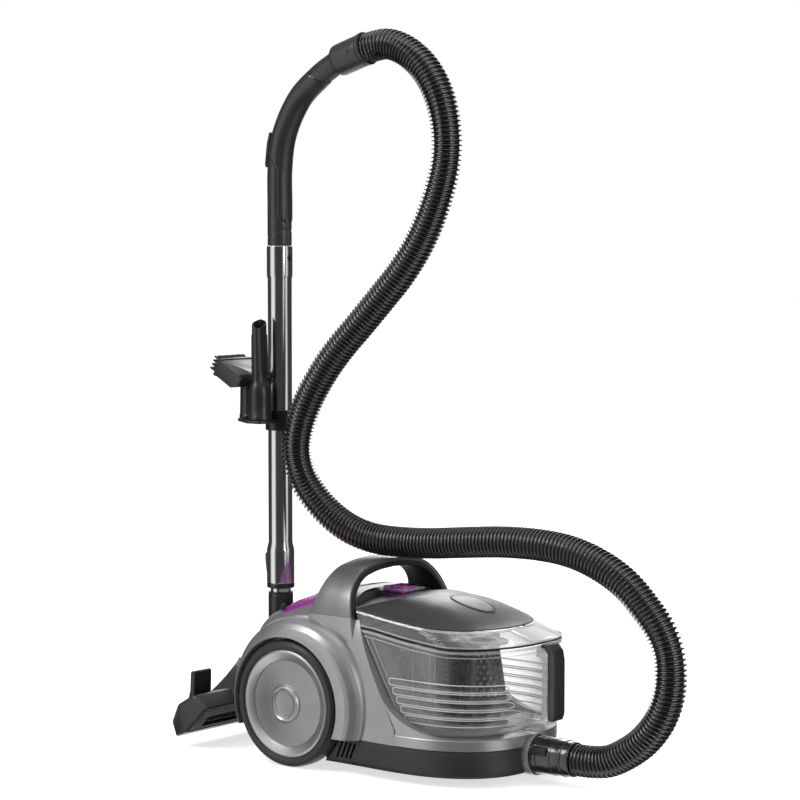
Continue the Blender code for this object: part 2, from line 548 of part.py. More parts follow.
# latch buttons sit in pockets on both flanks of the connector
for s in (-1, 1):
    cut(conn, box('c', (0.3335, min(s * 0.0205, s * 0.04), INLET_Z + 0.0040), (0.3565, max(s * 0.0205, s * 0.04), INLET_Z + 0.0150)))
finish(conn, 'hose_connector', 'black', (0.3045, 0, INLET_Z))
for s, nm in ((-1, 'right_latch'), (1, 'left_latch')):
    lb = box('l', (0.3340, min(s * 0.0225, s * 0.0262), INLET_Z + 0.0045), (0.3560, max(s * 0.0225, s * 0.0262), INLET_Z + 0.0145), 0.0006)
    finish(lb, nm, 'black', (0.345, s * 0.0245, INLET_Z + 0.0095))

# ---------------------------------------------------------------- dust bin
def seal_z(x):
    return float(np.interp(x, [0.10, 0.13, 0.18, 0.25, 0.29, 0.335], [0.2020, 0.2000, 0.1925, 0.1855, 0.1862, 0.1890]))
def bin_ring(w, xf, z, off=0.0, zf=None, n=10):
    """Outline at height z; zf(x) gives a height that varies along X."""
    pts = front_outline(w - off, 0.0, 0.215, xf - off, n, 2.4, 0.0)[1:-4]
    pts = [(None, -(w - off))] + pts[0:] + [(0.215, w - off), (None, w - off)]
    out = []
    for x, y in pts:
        if x is None:                                 # rear corner lies on the bulkhead slope
            zz = z if zf is None else None
            x = 0.12
            for _ in range(20):
                zz = z if zf is None else zf(x)
                x = bulk(zz) + 0.0010 + off
            out.append((x, y, zz))
        else:
            out.append((x, y, z if zf is None else zf(x)))
    return out
SEAL_LO = lambda x: seal_z(x) - 0.0028
lev = [(0.104, 0.300, 0.0665), (0.107, 0.307, 0.0720), (0.109, 0.318, 0.1000), (0.110, 0.327, 0.1500)]
outer = [bin_ring(w, xf, z) for w, xf, z in lev] + [bin_ring(0.110, 0.333, None, 0, SEAL_LO)]
bin_ = loft('bin', outer)
inner = [bin_ring(0.104, 0.300, 0.0692, 0.0024), bin_ring(0.107, 0.307, 0.0745, 0.0024)] + \
        [bin_ring(w, xf, z, 0.0024) for w, xf, z in lev[2:]] + [bin_ring(0.110, 0.333, None, 0.0024, SEAL_LO)]
top_in = [(x, y, z + 0.02) for x, y, z in inner[-1]]
cut(bin_, loft('c', inner + [top_in]))
# D-shaped grip frame at the front
dframe = prism('d', [(0.3000, 0.0800), (0.3480, 0.0800), (0.3485, 0.1760), (0.3420, 0.1830), (0.3200, 0.1830), (0.3200, 0.1730),
                     (0.3370, 0.1710), (0.3400, 0.1650), (0.3400, 0.0900), (0.3360, 0.0870), (0.3000, 0.0870)], 'xz', -0.0115, 0.0115)
dcut = loft('c', inner + [top_in])
cut(dframe, dcut)
add(bin_, dframe)
cut(bin_, cyl('c', (0.277, 0, 0.05), (0.277, 0, 0.075), 0.0110, 14),
    cyl('c', (0.09, -0.045, 0.135), (0.165, -0.045, 0.135), 0.019, 16))
finish(bin_, 'dust_bin', 'clear', (0.20, 0, 0.10))
GRIP_BAR = [(0.3490, 0.0860), (0.3580, 0.0860), (0.3612, 0.0960), (0.3612, 0.1680), (0.3585, 0.1810), (0.3500, 0.1890),
            (0.3380, 0.1890), (0.3380, 0.1840), (0.3430, 0.1836), (0.3490, 0.1770)]
finish(prism('g', GRIP_BAR, 'xz', -0.0120, 0.0120), 'bin_grip_bar', 'dark', (0.355, 0, 0.13), 50)

SEAL_HI = lambda x: seal_z(x) + 0.0010
def band(name, w, xf, z0f, z1f, thick, w1=None, xf1=None):
    w1, xf1 = w1 or w, xf1 or xf
    r = [bin_ring(w, xf, None, 0, z0f), bin_ring(w1, xf1, None, 0, z1f), bin_ring(w1, xf1, None, thick, z1f), bin_ring(w, xf, None, thick, z0f)]
    return loft(name, r, cap=False)
finish(band('s', 0.1108, 0.3338, lambda x: seal_z(x) - 0.0012, SEAL_HI, 0.0040), 'bin_seal', 'rubber', (0.20, 0, 0.19))
EDGE_Z = at([0.05, 0.0945, 0.16, 0.22, 0.26, 0.32], [0.2260, 0.2235, 0.2145, 0.2085, 0.2065, 0.2065])
finish(band('k', 0.1100, 0.3330, lambda x: seal_z(x) + 0.0014, lambda x: EDGE_Z(x) - 0.0006, 0.0024, 0.1045, 0.3150), 'lid_skirt', 'clear', (0.20, 0, 0.20))

# cyclone parts inside the bin
finish(prism('y', [(bulk(0.078) + 0.010, 0.078), (0.196, 0.078), (0.196, 0.178), (bulk(0.178) + 0.010, 0.178), (bulk(0.170) + 0.010, 0.170),
                   (0.188, 0.170), (0.188, 0.086), (bulk(0.086) + 0.010, 0.086)], 'xz', -0.040, 0.040), 'cyclone_housing', 'lid', (0.17, 0, 0.12), 30)
finish(lathe('y', [(0.0320, 0.0950), (0.0340, 0.0950), (0.0215, 0.1780), (0.0195, 0.1780)], (0.2340, 0, 0), AXIS_Z, 20, closed=True),
       'cyclone_cone', 'lid', (0.234, 0, 0.14))

# ---------------------------------------------------------------- bin lid
crown = at([0.055, 0.10, 0.15, 0.20, 0.25, 0.30, 0.32], [0.2350, 0.2400, 0.2402, 0.2350, 0.2260, 0.2125, 0.2080])
LCX = 0.185
def lid_surface(x, y, s):
    return EDGE_Z(x) + (max(crown(x), EDGE_Z(x) + 0.001) - EDGE_Z(x)) * (1 - s ** 2.6)
def lid_shell(name):
    verts, faces = [], []
    out = lid_outline(0.0)
    n = len(out)
    scales = (1.0, 0.96, 0.86, 0.66, 0.36)
    def ring(off, s, dz):
        o = lid_outline(off)
        for x, y in o:
            X, Y = LCX + (x - LCX) * s, y * s
            verts.append((X, Y, (lid_surface(X, Y, s) if dz is not None else EDGE_Z(X)) + (dz or 0)))
    for s in scales:
        ring(0, s, 0.0)
    verts.append((LCX, 0, lid_surface(LCX, 0, 0)))
    apex = len(verts) - 1
    start = len(verts)
    inner_sc = (0.97, 0.90, 0.66, 0.36)
    for s in inner_sc:
        for x, y in out:
            X, Y = LCX + (x - LCX) * s, y * s
            z = lid_surface(X, Y, s) - 0.0026
            if s == 0.97:
                z = EDGE_Z(X) + 0.0
            verts.append((X, Y, z))
    verts.append((LCX, 0, lid_surface(LCX, 0, 0) - 0.0026))
    apex2 = len(verts) - 1
    for i in range(len(scales) - 1):
        for j in range(n):
            k = (j + 1) % n
            faces.append((i * n + j, i * n + k, (i + 1) * n + k, (i + 1) * n + j))
    b = (len(scales) - 1) * n
    for j in range(n):
        faces.append((b + j, b + (j + 1) % n, apex))
    for i in range(len(inner_sc) - 1):
        for j in range(n):
            k = (j + 1) % n
            faces.append((start + i * n + j, start + i * n + k, start + (i + 1) * n + k, start + (i + 1) * n + j))
    b = start + (len(inner_sc) - 1) * n
    for j in range(n):
        faces.append((b + j, b + (j + 1) % n, apex2))
    for j in range(n):
        k = (j + 1) % n
        faces.append((j, k, start + k, start + j))
    return raw(name, verts, faces)
lid = lid_shell('lid')
cut(lid, box('c', (0.0716, -0.0164, 0.22), (0.1104, 0.0164, 0.26)))
finish(lid, 'bin_lid', 'lid', (0.185, 0, 0.21))
finish(box('b', (0.0720, -0.0160, 0.2345), (0.1100, 0.0160, 0.2455), 0.0015), 'bin_button', 'purple', (0.091, 0, 0.24))
# blank oval badge that follows the crown of the lid
def badge(name, cx0, a, b, n=20):
    verts, faces = [], []
    def zs(x, y):
        s = max(abs(y) / 0.104, abs(x - LCX) / (0.127 if x > LCX else 0.127))
        return lid_surface(x, y, s)
    for s, dz in ((1.0, 0.0006), (1.0, 0.0014), (0.94, 0.0020)):
        for k in range(n):
            t = 2 * math.pi * k / n
            x, y = cx0 + a * s * math.cos(t), b * s * math.sin(t)
            verts.append((x, y, zs(x, y) + dz))
    verts += [(cx0, 0, zs(cx0, 0) + 0.0020), (cx0, 0, zs(cx0, 0) + 0.0008)]
    for i in range(2):
        for j in range(n):
            k = (j + 1) % n
            faces.append((i * n + j, i * n + k, (i + 1) * n + k, (i + 1) * n + j))
    for j in range(n):
        faces.append((2 * n + j, 2 * n + (j + 1) % n, 3 * n))
        faces.append((j, (j + 1) % n, 3 * n + 1))
    return raw(name, verts, faces)
finish(badge('badge', 0.216, 0.034, 0.023), 'lid_badge', 'badge', (0.216, 0, 0.23))

# ---------------------------------------------------------------- wand
W = (WAND_X, 0, 0)
finish(pipe('t', (WAND_X, 0, 0.1710), (WAND_X, 0, 0.6000), INNER_R, INNER_RI, 16), 'wand_inner_tube', 'chrome', (WAND_X, 0, 0.38))
outer_tube = lathe('t', [(TUBE_RI, RING_Z1 + GAP), (0.0201, RING_Z1 + GAP), (0.0201, 0.2790), (0.0175, 0.2885), (0.0175, 0.6660), (0.0187, 0.6720),
                         (0.0187, GRIP_Z0), (TUBE_RI, GRIP_Z0)], W, AXIS_Z, 20, closed=True)
cut(outer_tube, cyl('c', (WAND_X + 0.010, 0, 0.6964), (WAND_X + 0.03, 0, 0.6964), 0.0036, 12),
    box('c', (WAND_X - 0.03, -0.0050, 0.2400), (WAND_X - 0.010, 0.0050, 0.2720)))
finish(outer_tube, 'wand_outer_tube', 'chrome', (WAND_X, 0, 0.5))
finish(pipe('r', (WAND_X, 0, RING_Z0), (WAND_X, 0, RING_Z1), 0.0200, INNER_R + 0.0005, 16), 'wand_end_ring', 'black', (WAND_X, 0, 0.2256))
tb = prism('b', [(WAND_X - 0.0170, 0.2410), (WAND_X - 0.0235, 0.2410), (WAND_X - 0.0260, 0.2600), (WAND_X - 0.0262, 0.2690), (WAND_X - 0.0240, 0.2715),
                 (WAND_X - 0.0170, 0.2715)], 'xz', -0.0045, 0.0045)
finish(tb, 'telescope_button', 'black', (WAND_X - 0.021, 0, 0.256))
finish(cyl('k', (WAND_X + 0.0168, 0, 0.6964), (WAND_X + 0.0192, 0, 0.6964), 0.0032, 12), 'grip_lock_button', 'black', (WAND_X + 0.018, 0, 0.6964))

GRIP = smooth_line([(-0.1300, 0, 0.7138), (-0.1300, 0, 0.7700), (-0.1296, 0, 0.8250), (-0.1205, 0, 0.8735), (-0.0930, 0, 0.9205),
                    (-0.0560, 0, 0.9510), (-0.0225, 0, 0.9705)], 2)
gr = np.interp(np.linspace(0, 1, len(GRIP)), [0, 0.12, 0.5, 0.85, 1], [0.0178, 0.0178, 0.0176, 0.0172, 0.0168])
grip = tube_path('g', GRIP, gr, gr - 0.0028, 12)
finish(grip, 'grip_handle', 'dark', tuple(GRIP[4]))
# rear-mounted suction control
sl = prism('s', [(WAND_X - 0.0180, 0.8255), (WAND_X - 0.0215, 0.8255), (WAND_X - 0.0228, 0.8300), (WAND_X - 0.0190, 0.8600), (WAND_X - 0.0146, 0.8760),
                 (WAND_X - 0.0112, 0.8738), (WAND_X - 0.0152, 0.8550), (WAND_X - 0.0182, 0.8350)], 'xz', -0.0060, 0.0060)
finish(sl, 'airflow_slider', 'black', (WAND_X - 0.018, 0, 0.85))
CUFF_A = np.array((-0.0195, 0, 0.9722))
CUFF_D = np.array((math.cos(math.radians(17)), 0, math.sin(math.radians(17))))
CUFF_L = 0.0540
finish(lathe('c', [(0.0186, 0.0), (0.0215, 0.0), (0.0226, 0.0040), (0.0228, 0.0480), (0.0236, 0.0500), (0.0236, 0.0540), (0.0186, 0.0540)],
             CUFF_A + CUFF_D * 0.0, CUFF_D, 18, closed=True), 'hose_cuff', 'dark', tuple(CUFF_A))

# ---------------------------------------------------------- tools on wand
holder = pipe('h', (WAND_X, 0, 0.4500), (WAND_X, 0, 0.4790), 0.0212, TUBE_R + GAP, 24)
CREV, DUST = (-0.1310, -0.0420), (-0.1660, -0.0240)
arm = prism('a', [(-0.1410, -0.0190), (-0.1160, -0.0190), (-0.1120, -0.0420), (-0.1180, -0.0590), (-0.1420, -0.0600), (-0.1830, -0.0330), (-0.1850, -0.0150),
                  (-0.1700, -0.0070), (-0.1550, -0.0100)], 'xy', 0.4620, 0.4665)
cut(arm, cyl('c', (WAND_X, 0, 0.4), (WAND_X, 0, 0.5), TUBE_R + GAP, 24))
add(holder, arm, cyl('p', (CREV[0], CREV[1], 0.464), (CREV[0], CREV[1], 0.4900), 0.0120, 14),
    cyl('p', (DUST[0], DUST[1], 0.464), (DUST[0], DUST[1], 0.4860), 0.0110, 14))
finish(holder, 'tool_holder', 'black', (WAND_X, 0, 0.4645))
def tool_ring(cx0, cy0, z, rx, ry, n=12, rot=0.0):
    return [(cx0 + rx * math.cos(2 * math.pi * k / n + 0.0) * math.cos(rot) - ry * math.sin(2 * math.pi * k / n) * math.sin(rot),
             cy0 + rx * math.cos(2 * math.pi * k / n) * math.sin(rot) + ry * math.sin(2 * math.pi * k / n) * math.cos(rot), z) for k in range(n)]
cx0, cy0 = CREV
prof = [(0.4670, 0.0172, 0.0172), (0.4720, 0.0172, 0.0172), (0.4725, 0.0166, 0.0166), (0.5060, 0.0160, 0.0160), (0.5200, 0.0125, 0.0135), (0.5350, 0.0090, 0.0120), (0.6100, 0.0075, 0.0118)]
outr = [tool_ring(cx0 - 0.0015 * max(0, (z - 0.50)) / 0.1, cy0, z, rx, ry) for z, rx, ry in prof]
innr = [tool_ring(cx0 - 0.0015 * max(0, (z - 0.50)) / 0.1, cy0, z, rx - 0.0022, ry - 0.0022) for z, rx, ry in prof]
outr[0], innr[0] = outr[0], innr[0]
crev = loft('c', outr + innr[::-1], cap=False)
finish(crev, 'crevice_tool', 'black', (cx0, cy0, 0.50))
dx0, dy0 = DUST
stem = lathe('s', [(0.0124, 0.4670), (0.0158, 0.4670), (0.0158, 0.4720), (0.0150, 0.4725), (0.0142, 0.5200), (0.0120, 0.5320), (0.0100, 0.5320), (0.0100, 0.4900), (0.0124, 0.4880)],
             (dx0, dy0, 0), AXIS_Z, 16, closed=True)
def tilted(name, lo, hi, origin, ang, bevel):
    ob = box(name, lo, hi, bevel)
    for v in ob.data.vertices:
        x, z = v.co.x, v.co.z
        v.co.x = x * math.cos(ang) + z * math.sin(ang) + origin[0]
        v.co.z = -x * math.sin(ang) + z * math.cos(ang) + origin[2]
        v.co.y += origin[1]
    return ob
BR = (-0.1840, -0.0270, 0.5330)
head = tilted('b', (-0.0150, -0.0330, -0.0130), (0.0330, 0.0330, 0.0130), BR, math.radians(30), 0.004)
cut(head, cyl('c', (CREV[0], CREV[1], 0.45), (CREV[0], CREV[1], 0.65), 0.0182, 16), cyl('c', (WAND_X, 0, 0.45), (WAND_X, 0, 0.65), 0.0212, 16))
add(head, stem)
finish(head, 'dusting_brush', 'black', (dx0, dy0, 0.50))
tuft = tilted('b', (-0.0290, -0.0300, -0.0110), (-0.0154, 0.0300, 0.0110), BR, math.radians(30), 0.0)
finish(tuft, 'brush_bristles', 'bristle', (dx0, dy0, 0.50))

# -------------------------------------------------- neck, elbow, floor head
ELBOW = smooth_line([(-0.1300, 0, 0.1850), (-0.1300, 0, 0.1600), (-0.1345, 0, 0.1380), (-0.1450, 0, 0.1252), (-0.1580, 0, 0.1155), (NECK_X, 0, NECK_Z)], 2)
socket = cyl('n', (WAND_X, 0, 0.1640), (WAND_X, 0, SOCKET_TOP), 0.0180, 16)
add(socket, tube_path('e', ELBOW, 0.0176, None, 13), cyl('k', (NECK_X, -0.0210, NECK_Z), (NECK_X, 0.0210, NECK_Z), 0.0205, 18),
    box('hook', (-0.1200, -0.0058, 0.1765), (-0.0945, 0.0058, 0.1850)))
DOWN = ELBOW[-1] - ELBOW[-2]
cut(socket, tube_path('c', list(ELBOW) + [ELBOW[-1] + DOWN * 6.0], 0.0136, None, 11),
    cyl('c', (WAND_X, 0, 0.1660), (WAND_X, 0, 0.25), INNER_R + 0.0004, 15))
finish(socket, 'neck_socket', 'black', (WAND_X, 0, 0.17))

HA, HB, HC, HD, HE, HF = (-0.2131, 0.0142), (-0.2211, 0.0349), (-0.2091, 0.0623), (-0.1779, 0.0803), (-0.1521, 0.0619), (-0.1919, 0.0227)
HEAD_Y = 0.1350
fe = np.array(HE) - np.array(HF)
fe /= np.linalg.norm(fe)
nrm = np.array((fe[1], -fe[0]))                      # out of the sole
hull = prism('h', [HA, HB, HC, HD, HE, HF], 'xz', -HEAD_Y, HEAD_Y)
def P2(base2, a, b):
    q = np.array(base2) + fe * a + nrm * b
    return (float(q[0]), float(q[1]))
cav = [P2(HF, 0.0010, 0.02), P2(HF, 0.0010, -0.0050), (-0.2098, 0.0225), (-0.2172, 0.0352), (-0.2065, 0.0600), (-0.1782, 0.0763), (-0.1575, 0.0625), P2(HE, -0.0030, 0.02)]
# wedge fairing that narrows from the head to the neck
fair = []
for (x0, z0), (x1, z1), hw in (((-0.2075, 0.0600), (-0.1640, 0.0640), 0.0800), ((-0.2010, 0.0800), (-0.1620, 0.0780), 0.0600),
                               ((-0.1945, 0.1030), (-0.1590, 0.0920), 0.0340), ((-0.1900, 0.1165), (-0.1560, 0.0985), 0.0245)):
    fair.append([(x0, -hw, z0), (x0, hw, z0), (x1, hw * 0.92, z1), (x1, -hw * 0.92, z1)])
fairing = loft('f', fair)
add(hull, fairing)
cut(hull, prism('c', cav, 'xz', -HEAD_Y + 0.003, HEAD_Y - 0.003))
duct2 = tube_path('c', [(NECK_X, 0, NECK_Z), (-0.1790, 0, 0.0900), (-0.1850, 0, 0.0650)], [0.0130] * 3, None, 14)
cut(hull, cyl('c', (NECK_X, -0.0216, NECK_Z), (NECK_X, 0.0216, NECK_Z), 0.0214, 18),
    prism('c', [(NECK_X, NECK_Z - 0.030), (NECK_X, NECK_Z), (NECK_X - 0.030, NECK_Z + 0.006), (NECK_X - 0.030, NECK_Z + 0.05), (NECK_X + 0.05, NECK_Z + 0.05), (NECK_X + 0.05, NECK_Z - 0.030)], 'xz', -0.0216, 0.0216), duct2)
# pocket for the brush pedal near one end of the head
cut(hull, prism('c', [(-0.2110, 0.0900), (-0.2040, 0.0560), (-0.1890, 0.0600), (-0.1880, 0.0900)], 'xz', -0.1205, -0.0740))
finish(hull, 'head_cover', 'black', (NECK_X, 0, NECK_Z))
sole = prism('s', [P2(HF, 0.0016, -0.0006), P2(HF, 0.0016, -0.0042), P2(HE, -0.0036, -0.0042), P2(HE, -0.0036, -0.0006)], 'xz', -0.1315, 0.1315)
cut(sole, prism('c', [P2(HF, 0.0080, 0.01), P2(HF, 0.0080, -0.02), P2(HF, 0.0190, -0.02), P2(HF, 0.0190, 0.01)], 'xz', -0.110, 0.110),
    prism('c', [P2(HF, 0.0270, 0.01), P2(HF, 0.0270, -0.02), P2(HF, 0.0322, -0.02), P2(HF, 0.0322, 0.01)], 'xz', -0.108, 0.108))
finish(sole, 'head_sole', 'dark', (NECK_X, 0, NECK_Z))
finish(prism('s', [P2(HF, 0.0277, -0.0008), P2(HF, 0.0277, -0.0120), P2(HF, 0.0315, -0.0120), P2(HF, 0.0315, -0.0008)], 'xz', -0.1070, 0.1070),
       'bristle_strip', 'bristle', (NECK_X, 0, NECK_Z))
finish(prism('s', [P2(HF, 0.0215, 0.0014), P2(HF, 0.0215, -0.0002), P2(HF, 0.0250, -0.0002), P2(HF, 0.0250, 0.0014)], 'xz', -0.110, 0.110),
       'lint_strip', 'red', (NECK_X, 0, NECK_Z))
PED = (-0.1975, 0.0730)
ped = prism('p', [(-0.2035, 0.0690), (-0.1975, 0.0680), (-0.1915, 0.0740), (-0.1905, 0.1060), (-0.1925, 0.1085), (-0.1965, 0.1085), (-0.1985, 0.1060), (-0.2000, 0.0800)],
            'xz', -0.1195, -0.0750)
finish(ped, 'brush_pedal', 'black', (PED[0], -0.0972, PED[1]))

# ------------------------------------------------------------------- hose
HOSE_ROUTE = [(0.3884, 0.0, 0.0380), (0.4120, 0.0, 0.0385), (0.4400, 0.0, 0.0430), (0.4680, 0.0, 0.0570), (0.4950, 0.0, 0.0770),
              (0.5170, 0.0, 0.1040), (0.5300, 0.0, 0.1340), (0.5345, 0.0, 0.1650), (0.5310, 0.0, 0.1960), (0.5180, 0.0, 0.2240),
              (0.4960, 0.0, 0.2500), (0.4640, 0.0, 0.2790), (0.4250, 0.0, 0.3000), (0.3800, 0.0, 0.3140), (0.3300, 0.0, 0.3195),
              (0.2700, 0.0, 0.3190), (0.2100, 0.0, 0.3140), (0.1500, 0.0, 0.3080), (0.1000, 0.0, 0.3053), (0.0500, -0.002, 0.3065),
              (0.0120, -0.008, 0.3160), (-0.0200, -0.014, 0.3340), (-0.0480, -0.020, 0.3600), (-0.0680, -0.024, 0.3900), (-0.0760, -0.026, 0.4250),
              (-0.0710, -0.025, 0.4620), (-0.0560, -0.022, 0.5000), (-0.0330, -0.018, 0.5380), (-0.0060, -0.014, 0.5720), (0.0250, -0.009, 0.6050),
              (0.0600, -0.005, 0.6420), (0.0950, -0.002, 0.6800), (0.1270, 0.0, 0.7250), (0.1520, 0.0, 0.7750), (0.1680, 0.0, 0.8250),
              (0.1700, 0.0, 0.8700), (0.1590, 0.0, 0.9150), (0.1360, 0.0, 0.9530), (0.1030, 0.0, 0.9800), (0.0680, 0.0, 0.9922)]
CUFF_END = CUFF_A + CUFF_D * CUFF_L
HOSE_ROUTE.append(tuple(CUFF_END + CUFF_D * 0.0004))
curve = smooth_line(HOSE_ROUTE, 8)
seg_len = np.linalg.norm(np.diff(curve, axis=0), axis=1)
run = np.concatenate([[0], np.cumsum(seg_len)])
HOSE_LENGTH = float(run[-1])
count = 42
even = np.linspace(0, run[-1], count)
pts = np.stack([np.interp(even, run, curve[:, k]) for k in range(3)], 1)
# the end faces stand square to the connector and the cuff
pts = np.vstack([pts[:1], pts[:1] + [[0.012, 0, 0]], pts[1:-1], pts[-1:] + [CUFF_D * 0.012], pts[-1:]])
cu = bpy.data.curves.new('hose', 'CURVE')
cu.dimensions = '3D'
cu.bevel_depth = HOSE_R
cu.bevel_resolution = 2
cu.use_fill_caps = True
cu.resolution_u = 1
cu.render_resolution_u = 0
sp = cu.splines.new('POLY')
sp.points.add(len(pts) - 1)
for p, q in zip(sp.points, pts):
    p.co = (q[0], q[1], q[2], 1)
hose = bpy.data.objects.new('suction_hose', cu)
bpy.context.scene.collection.objects.link(hose)
hose.data.materials.append(M['hose'])
hose.parent = root
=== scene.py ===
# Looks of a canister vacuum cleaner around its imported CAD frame.
# Pieces are laid out in the layout frame of the design (X forward, Y left, Z up,
# origin under the rear axle) and moved back by CX into the row frame.
import bpy, bmesh, math
import numpy as np
from mathutils import Vector, Matrix


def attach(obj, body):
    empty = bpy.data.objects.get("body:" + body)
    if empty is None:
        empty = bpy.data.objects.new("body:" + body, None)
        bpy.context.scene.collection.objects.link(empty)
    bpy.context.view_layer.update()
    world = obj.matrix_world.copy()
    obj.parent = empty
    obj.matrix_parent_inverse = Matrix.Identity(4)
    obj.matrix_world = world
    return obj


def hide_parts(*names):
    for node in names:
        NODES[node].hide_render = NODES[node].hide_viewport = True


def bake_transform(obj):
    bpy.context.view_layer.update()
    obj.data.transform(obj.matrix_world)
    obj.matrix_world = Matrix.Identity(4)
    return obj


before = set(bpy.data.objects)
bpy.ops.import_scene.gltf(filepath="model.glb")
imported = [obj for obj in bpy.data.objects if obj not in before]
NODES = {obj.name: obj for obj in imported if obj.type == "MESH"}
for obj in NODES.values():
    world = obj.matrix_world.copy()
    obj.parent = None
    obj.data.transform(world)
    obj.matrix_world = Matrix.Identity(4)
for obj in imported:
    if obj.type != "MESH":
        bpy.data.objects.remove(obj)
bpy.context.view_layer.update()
CX = 0.08345
AXIS_X, AXIS_Y, AXIS_Z = (1, 0, 0), (0, 1, 0), (0, 0, 1)
SC = bpy.context.scene

# ------------------------------------------------------------------ camera
cam_data = bpy.data.cameras.new('camera')
cam = bpy.data.objects.new('camera', cam_data)
SC.collection.objects.link(cam)
cam.location = (2.24685, -2.8177, 0.7607)
cam.rotation_euler = (Vector((0.00615, 0, 0.5025)) - cam.location).to_track_quat('-Z', 'Y').to_euler()
cam_data.sensor_width = 36
cam_data.lens = 117.47
cam_data.clip_end = 60
SC.camera = cam

# --------------------------------------------------------------- materials
def new_mat(name):
    m = bpy.data.materials.new(name)
    m.use_nodes = True
    return m, m.node_tree.nodes, m.node_tree.links, m.node_tree.nodes['Principled BSDF']

def coords(N, L, scale=(1, 1, 1)):
    tc = N.new('ShaderNodeTexCoord')
    mp = N.new('ShaderNodeMapping')
    mp.inputs['Scale'].default_value = scale
    L.new(tc.outputs['Object'], mp.inputs['Vector'])
    return mp.outputs['Vector']

def noise_tex(N, L, vec, scale, detail=4, rough=0.55):
    t = N.new('ShaderNodeTexNoise')
    t.inputs['Scale'].default_value = scale
    t.inputs['Detail'].default_value = detail
    t.inputs['Roughness'].default_value = rough
    L.new(vec, t.inputs['Vector'])
    return t.outputs['Fac']

def ramp(N, L, fac, stops):
    r = N.new('ShaderNodeValToRGB')
    while len(r.color_ramp.elements) < len(stops):
        r.color_ramp.elements.new(0.5)
    for e, (p, c) in zip(r.color_ramp.elements, stops):
        e.position = p
        e.color = (c[0], c[1], c[2], 1)
    L.new(fac, r.inputs['Fac'])
    return r.outputs['Color']

def to_range(N, L, fac, lo, hi, a=0.0, b=1.0):
    r = N.new('ShaderNodeMapRange')
    r.inputs['From Min'].default_value = a
    r.inputs['From Max'].default_value = b
    r.inputs['To Min'].default_value = lo
    r.inputs['To Max'].default_value = hi
    L.new(fac, r.inputs['Value'])
    return r.outputs['Result']

def bump(N, L, fac, strength, dist, bsdf, normal=None):
    b = N.new('ShaderNodeBump')
    b.inputs['Strength'].default_value = strength
    b.inputs['Distance'].default_value = dist
    L.new(fac, b.inputs['Height'])
    if normal is not None:
        L.new(normal, b.inputs['Normal'])
    L.new(b.outputs['Normal'], bsdf.inputs['Normal'])
    return b

def plastic(name, rgb, rough=0.45, metal=0.0, coat=0.0, grain=1600, grain_d=0.00006, grain_s=0.25, vary=0.12, spec=0.5,
            wear=0.10, sheen=0.0, coat_rough=0.12):
    """Moulded plastic: fine surface grain, soft colour drift and handling marks in the gloss."""
    m, N, L, B = new_mat(name)
    v = coords(N, L)
    drift = noise_tex(N, L, v, 9.0, 3)
    fine = noise_tex(N, L, v, grain, 3, 0.6)
    lo = [c * (1 - vary) for c in rgb]
    hi = [min(1, c * (1 + vary)) for c in rgb]
    L.new(ramp(N, L, drift, [(0.30, lo), (0.70, hi)]), B.inputs['Base Color'])
    smudge = noise_tex(N, L, v, 34.0, 5, 0.62)
    L.new(to_range(N, L, smudge, rough - wear * 0.5, rough + wear, 0.3, 0.75), B.inputs['Roughness'])
    B.inputs['Metallic'].default_value = metal
    B.inputs['Coat Weight'].default_value = coat
    B.inputs['Coat Roughness'].default_value = coat_rough
    B.inputs['Specular IOR Level'].default_value = spec
    B.inputs['Sheen Weight'].default_value = sheen
    bump(N, L, fine, grain_s, grain_d, B)
    return m

def silver_paint(name, rgb, metal=0.62, rough=0.34, coat=0.25):
    """Metallic silver lacquer: fine flake sparkle under a thin clear coat."""
    m, N, L, B = new_mat(name)
    v = coords(N, L)
    vo = N.new('ShaderNodeTexVoronoi')
    vo.inputs['Scale'].default_value = 2600
    L.new(v, vo.inputs['Vector'])
    drift = noise_tex(N, L, v, 7.0, 3)
    base = ramp(N, L, drift, [(0.3, [c * 0.94 for c in rgb]), (0.7, [c * 1.05 for c in rgb])])
    mx = N.new('ShaderNodeMix')
    mx.data_type, mx.blend_type = 'RGBA', 'MULTIPLY'
    mx.inputs['Factor'].default_value = 0.16
    L.new(base, mx.inputs['A'])
    L.new(vo.outputs['Color'], mx.inputs['B'])
    L.new(mx.outputs['Result'], B.inputs['Base Color'])
    smudge = noise_tex(N, L, v, 40.0, 5)
    L.new(to_range(N, L, smudge, rough - 0.03, rough + 0.07, 0.3, 0.7), B.inputs['Roughness'])
    B.inputs['Metallic'].default_value = metal
    B.inputs['Coat Weight'].default_value = coat
    B.inputs['Coat Roughness'].default_value = 0.18
    bump(N, L, vo.outputs['Distance'], 0.10, 0.00003, B)
    return m

def clear_plastic(name, rgb, low, high, rough=0.05, exponent=0.42):
    """Thin clear moulding: almost open seen square on, pale and solid along its edges."""
    m, N, L, B = new_mat(name)
    v = coords(N, L)
    flow = noise_tex(N, L, v, 55.0, 4)
    L.new(ramp(N, L, flow, [(0.3, [c * 0.93 for c in rgb]), (0.7, rgb)]), B.inputs['Base Color'])
    lw = N.new('ShaderNodeLayerWeight')
    lw.inputs['Blend'].default_value = exponent
    L.new(to_range(N, L, lw.outputs['Facing'], low, high, 0.05, 0.95), B.inputs['Alpha'])
    L.new(to_range(N, L, flow, rough, rough + 0.04, 0.3, 0.7), B.inputs['Roughness'])
    B.inputs['Specular IOR Level'].default_value = 1.0
    B.inputs['Coat Weight'].default_value = 0.8
    B.inputs['Coat Roughness'].default_value = 0.03
    bump(N, L, flow, 0.04, 0.0003, B)
    return m

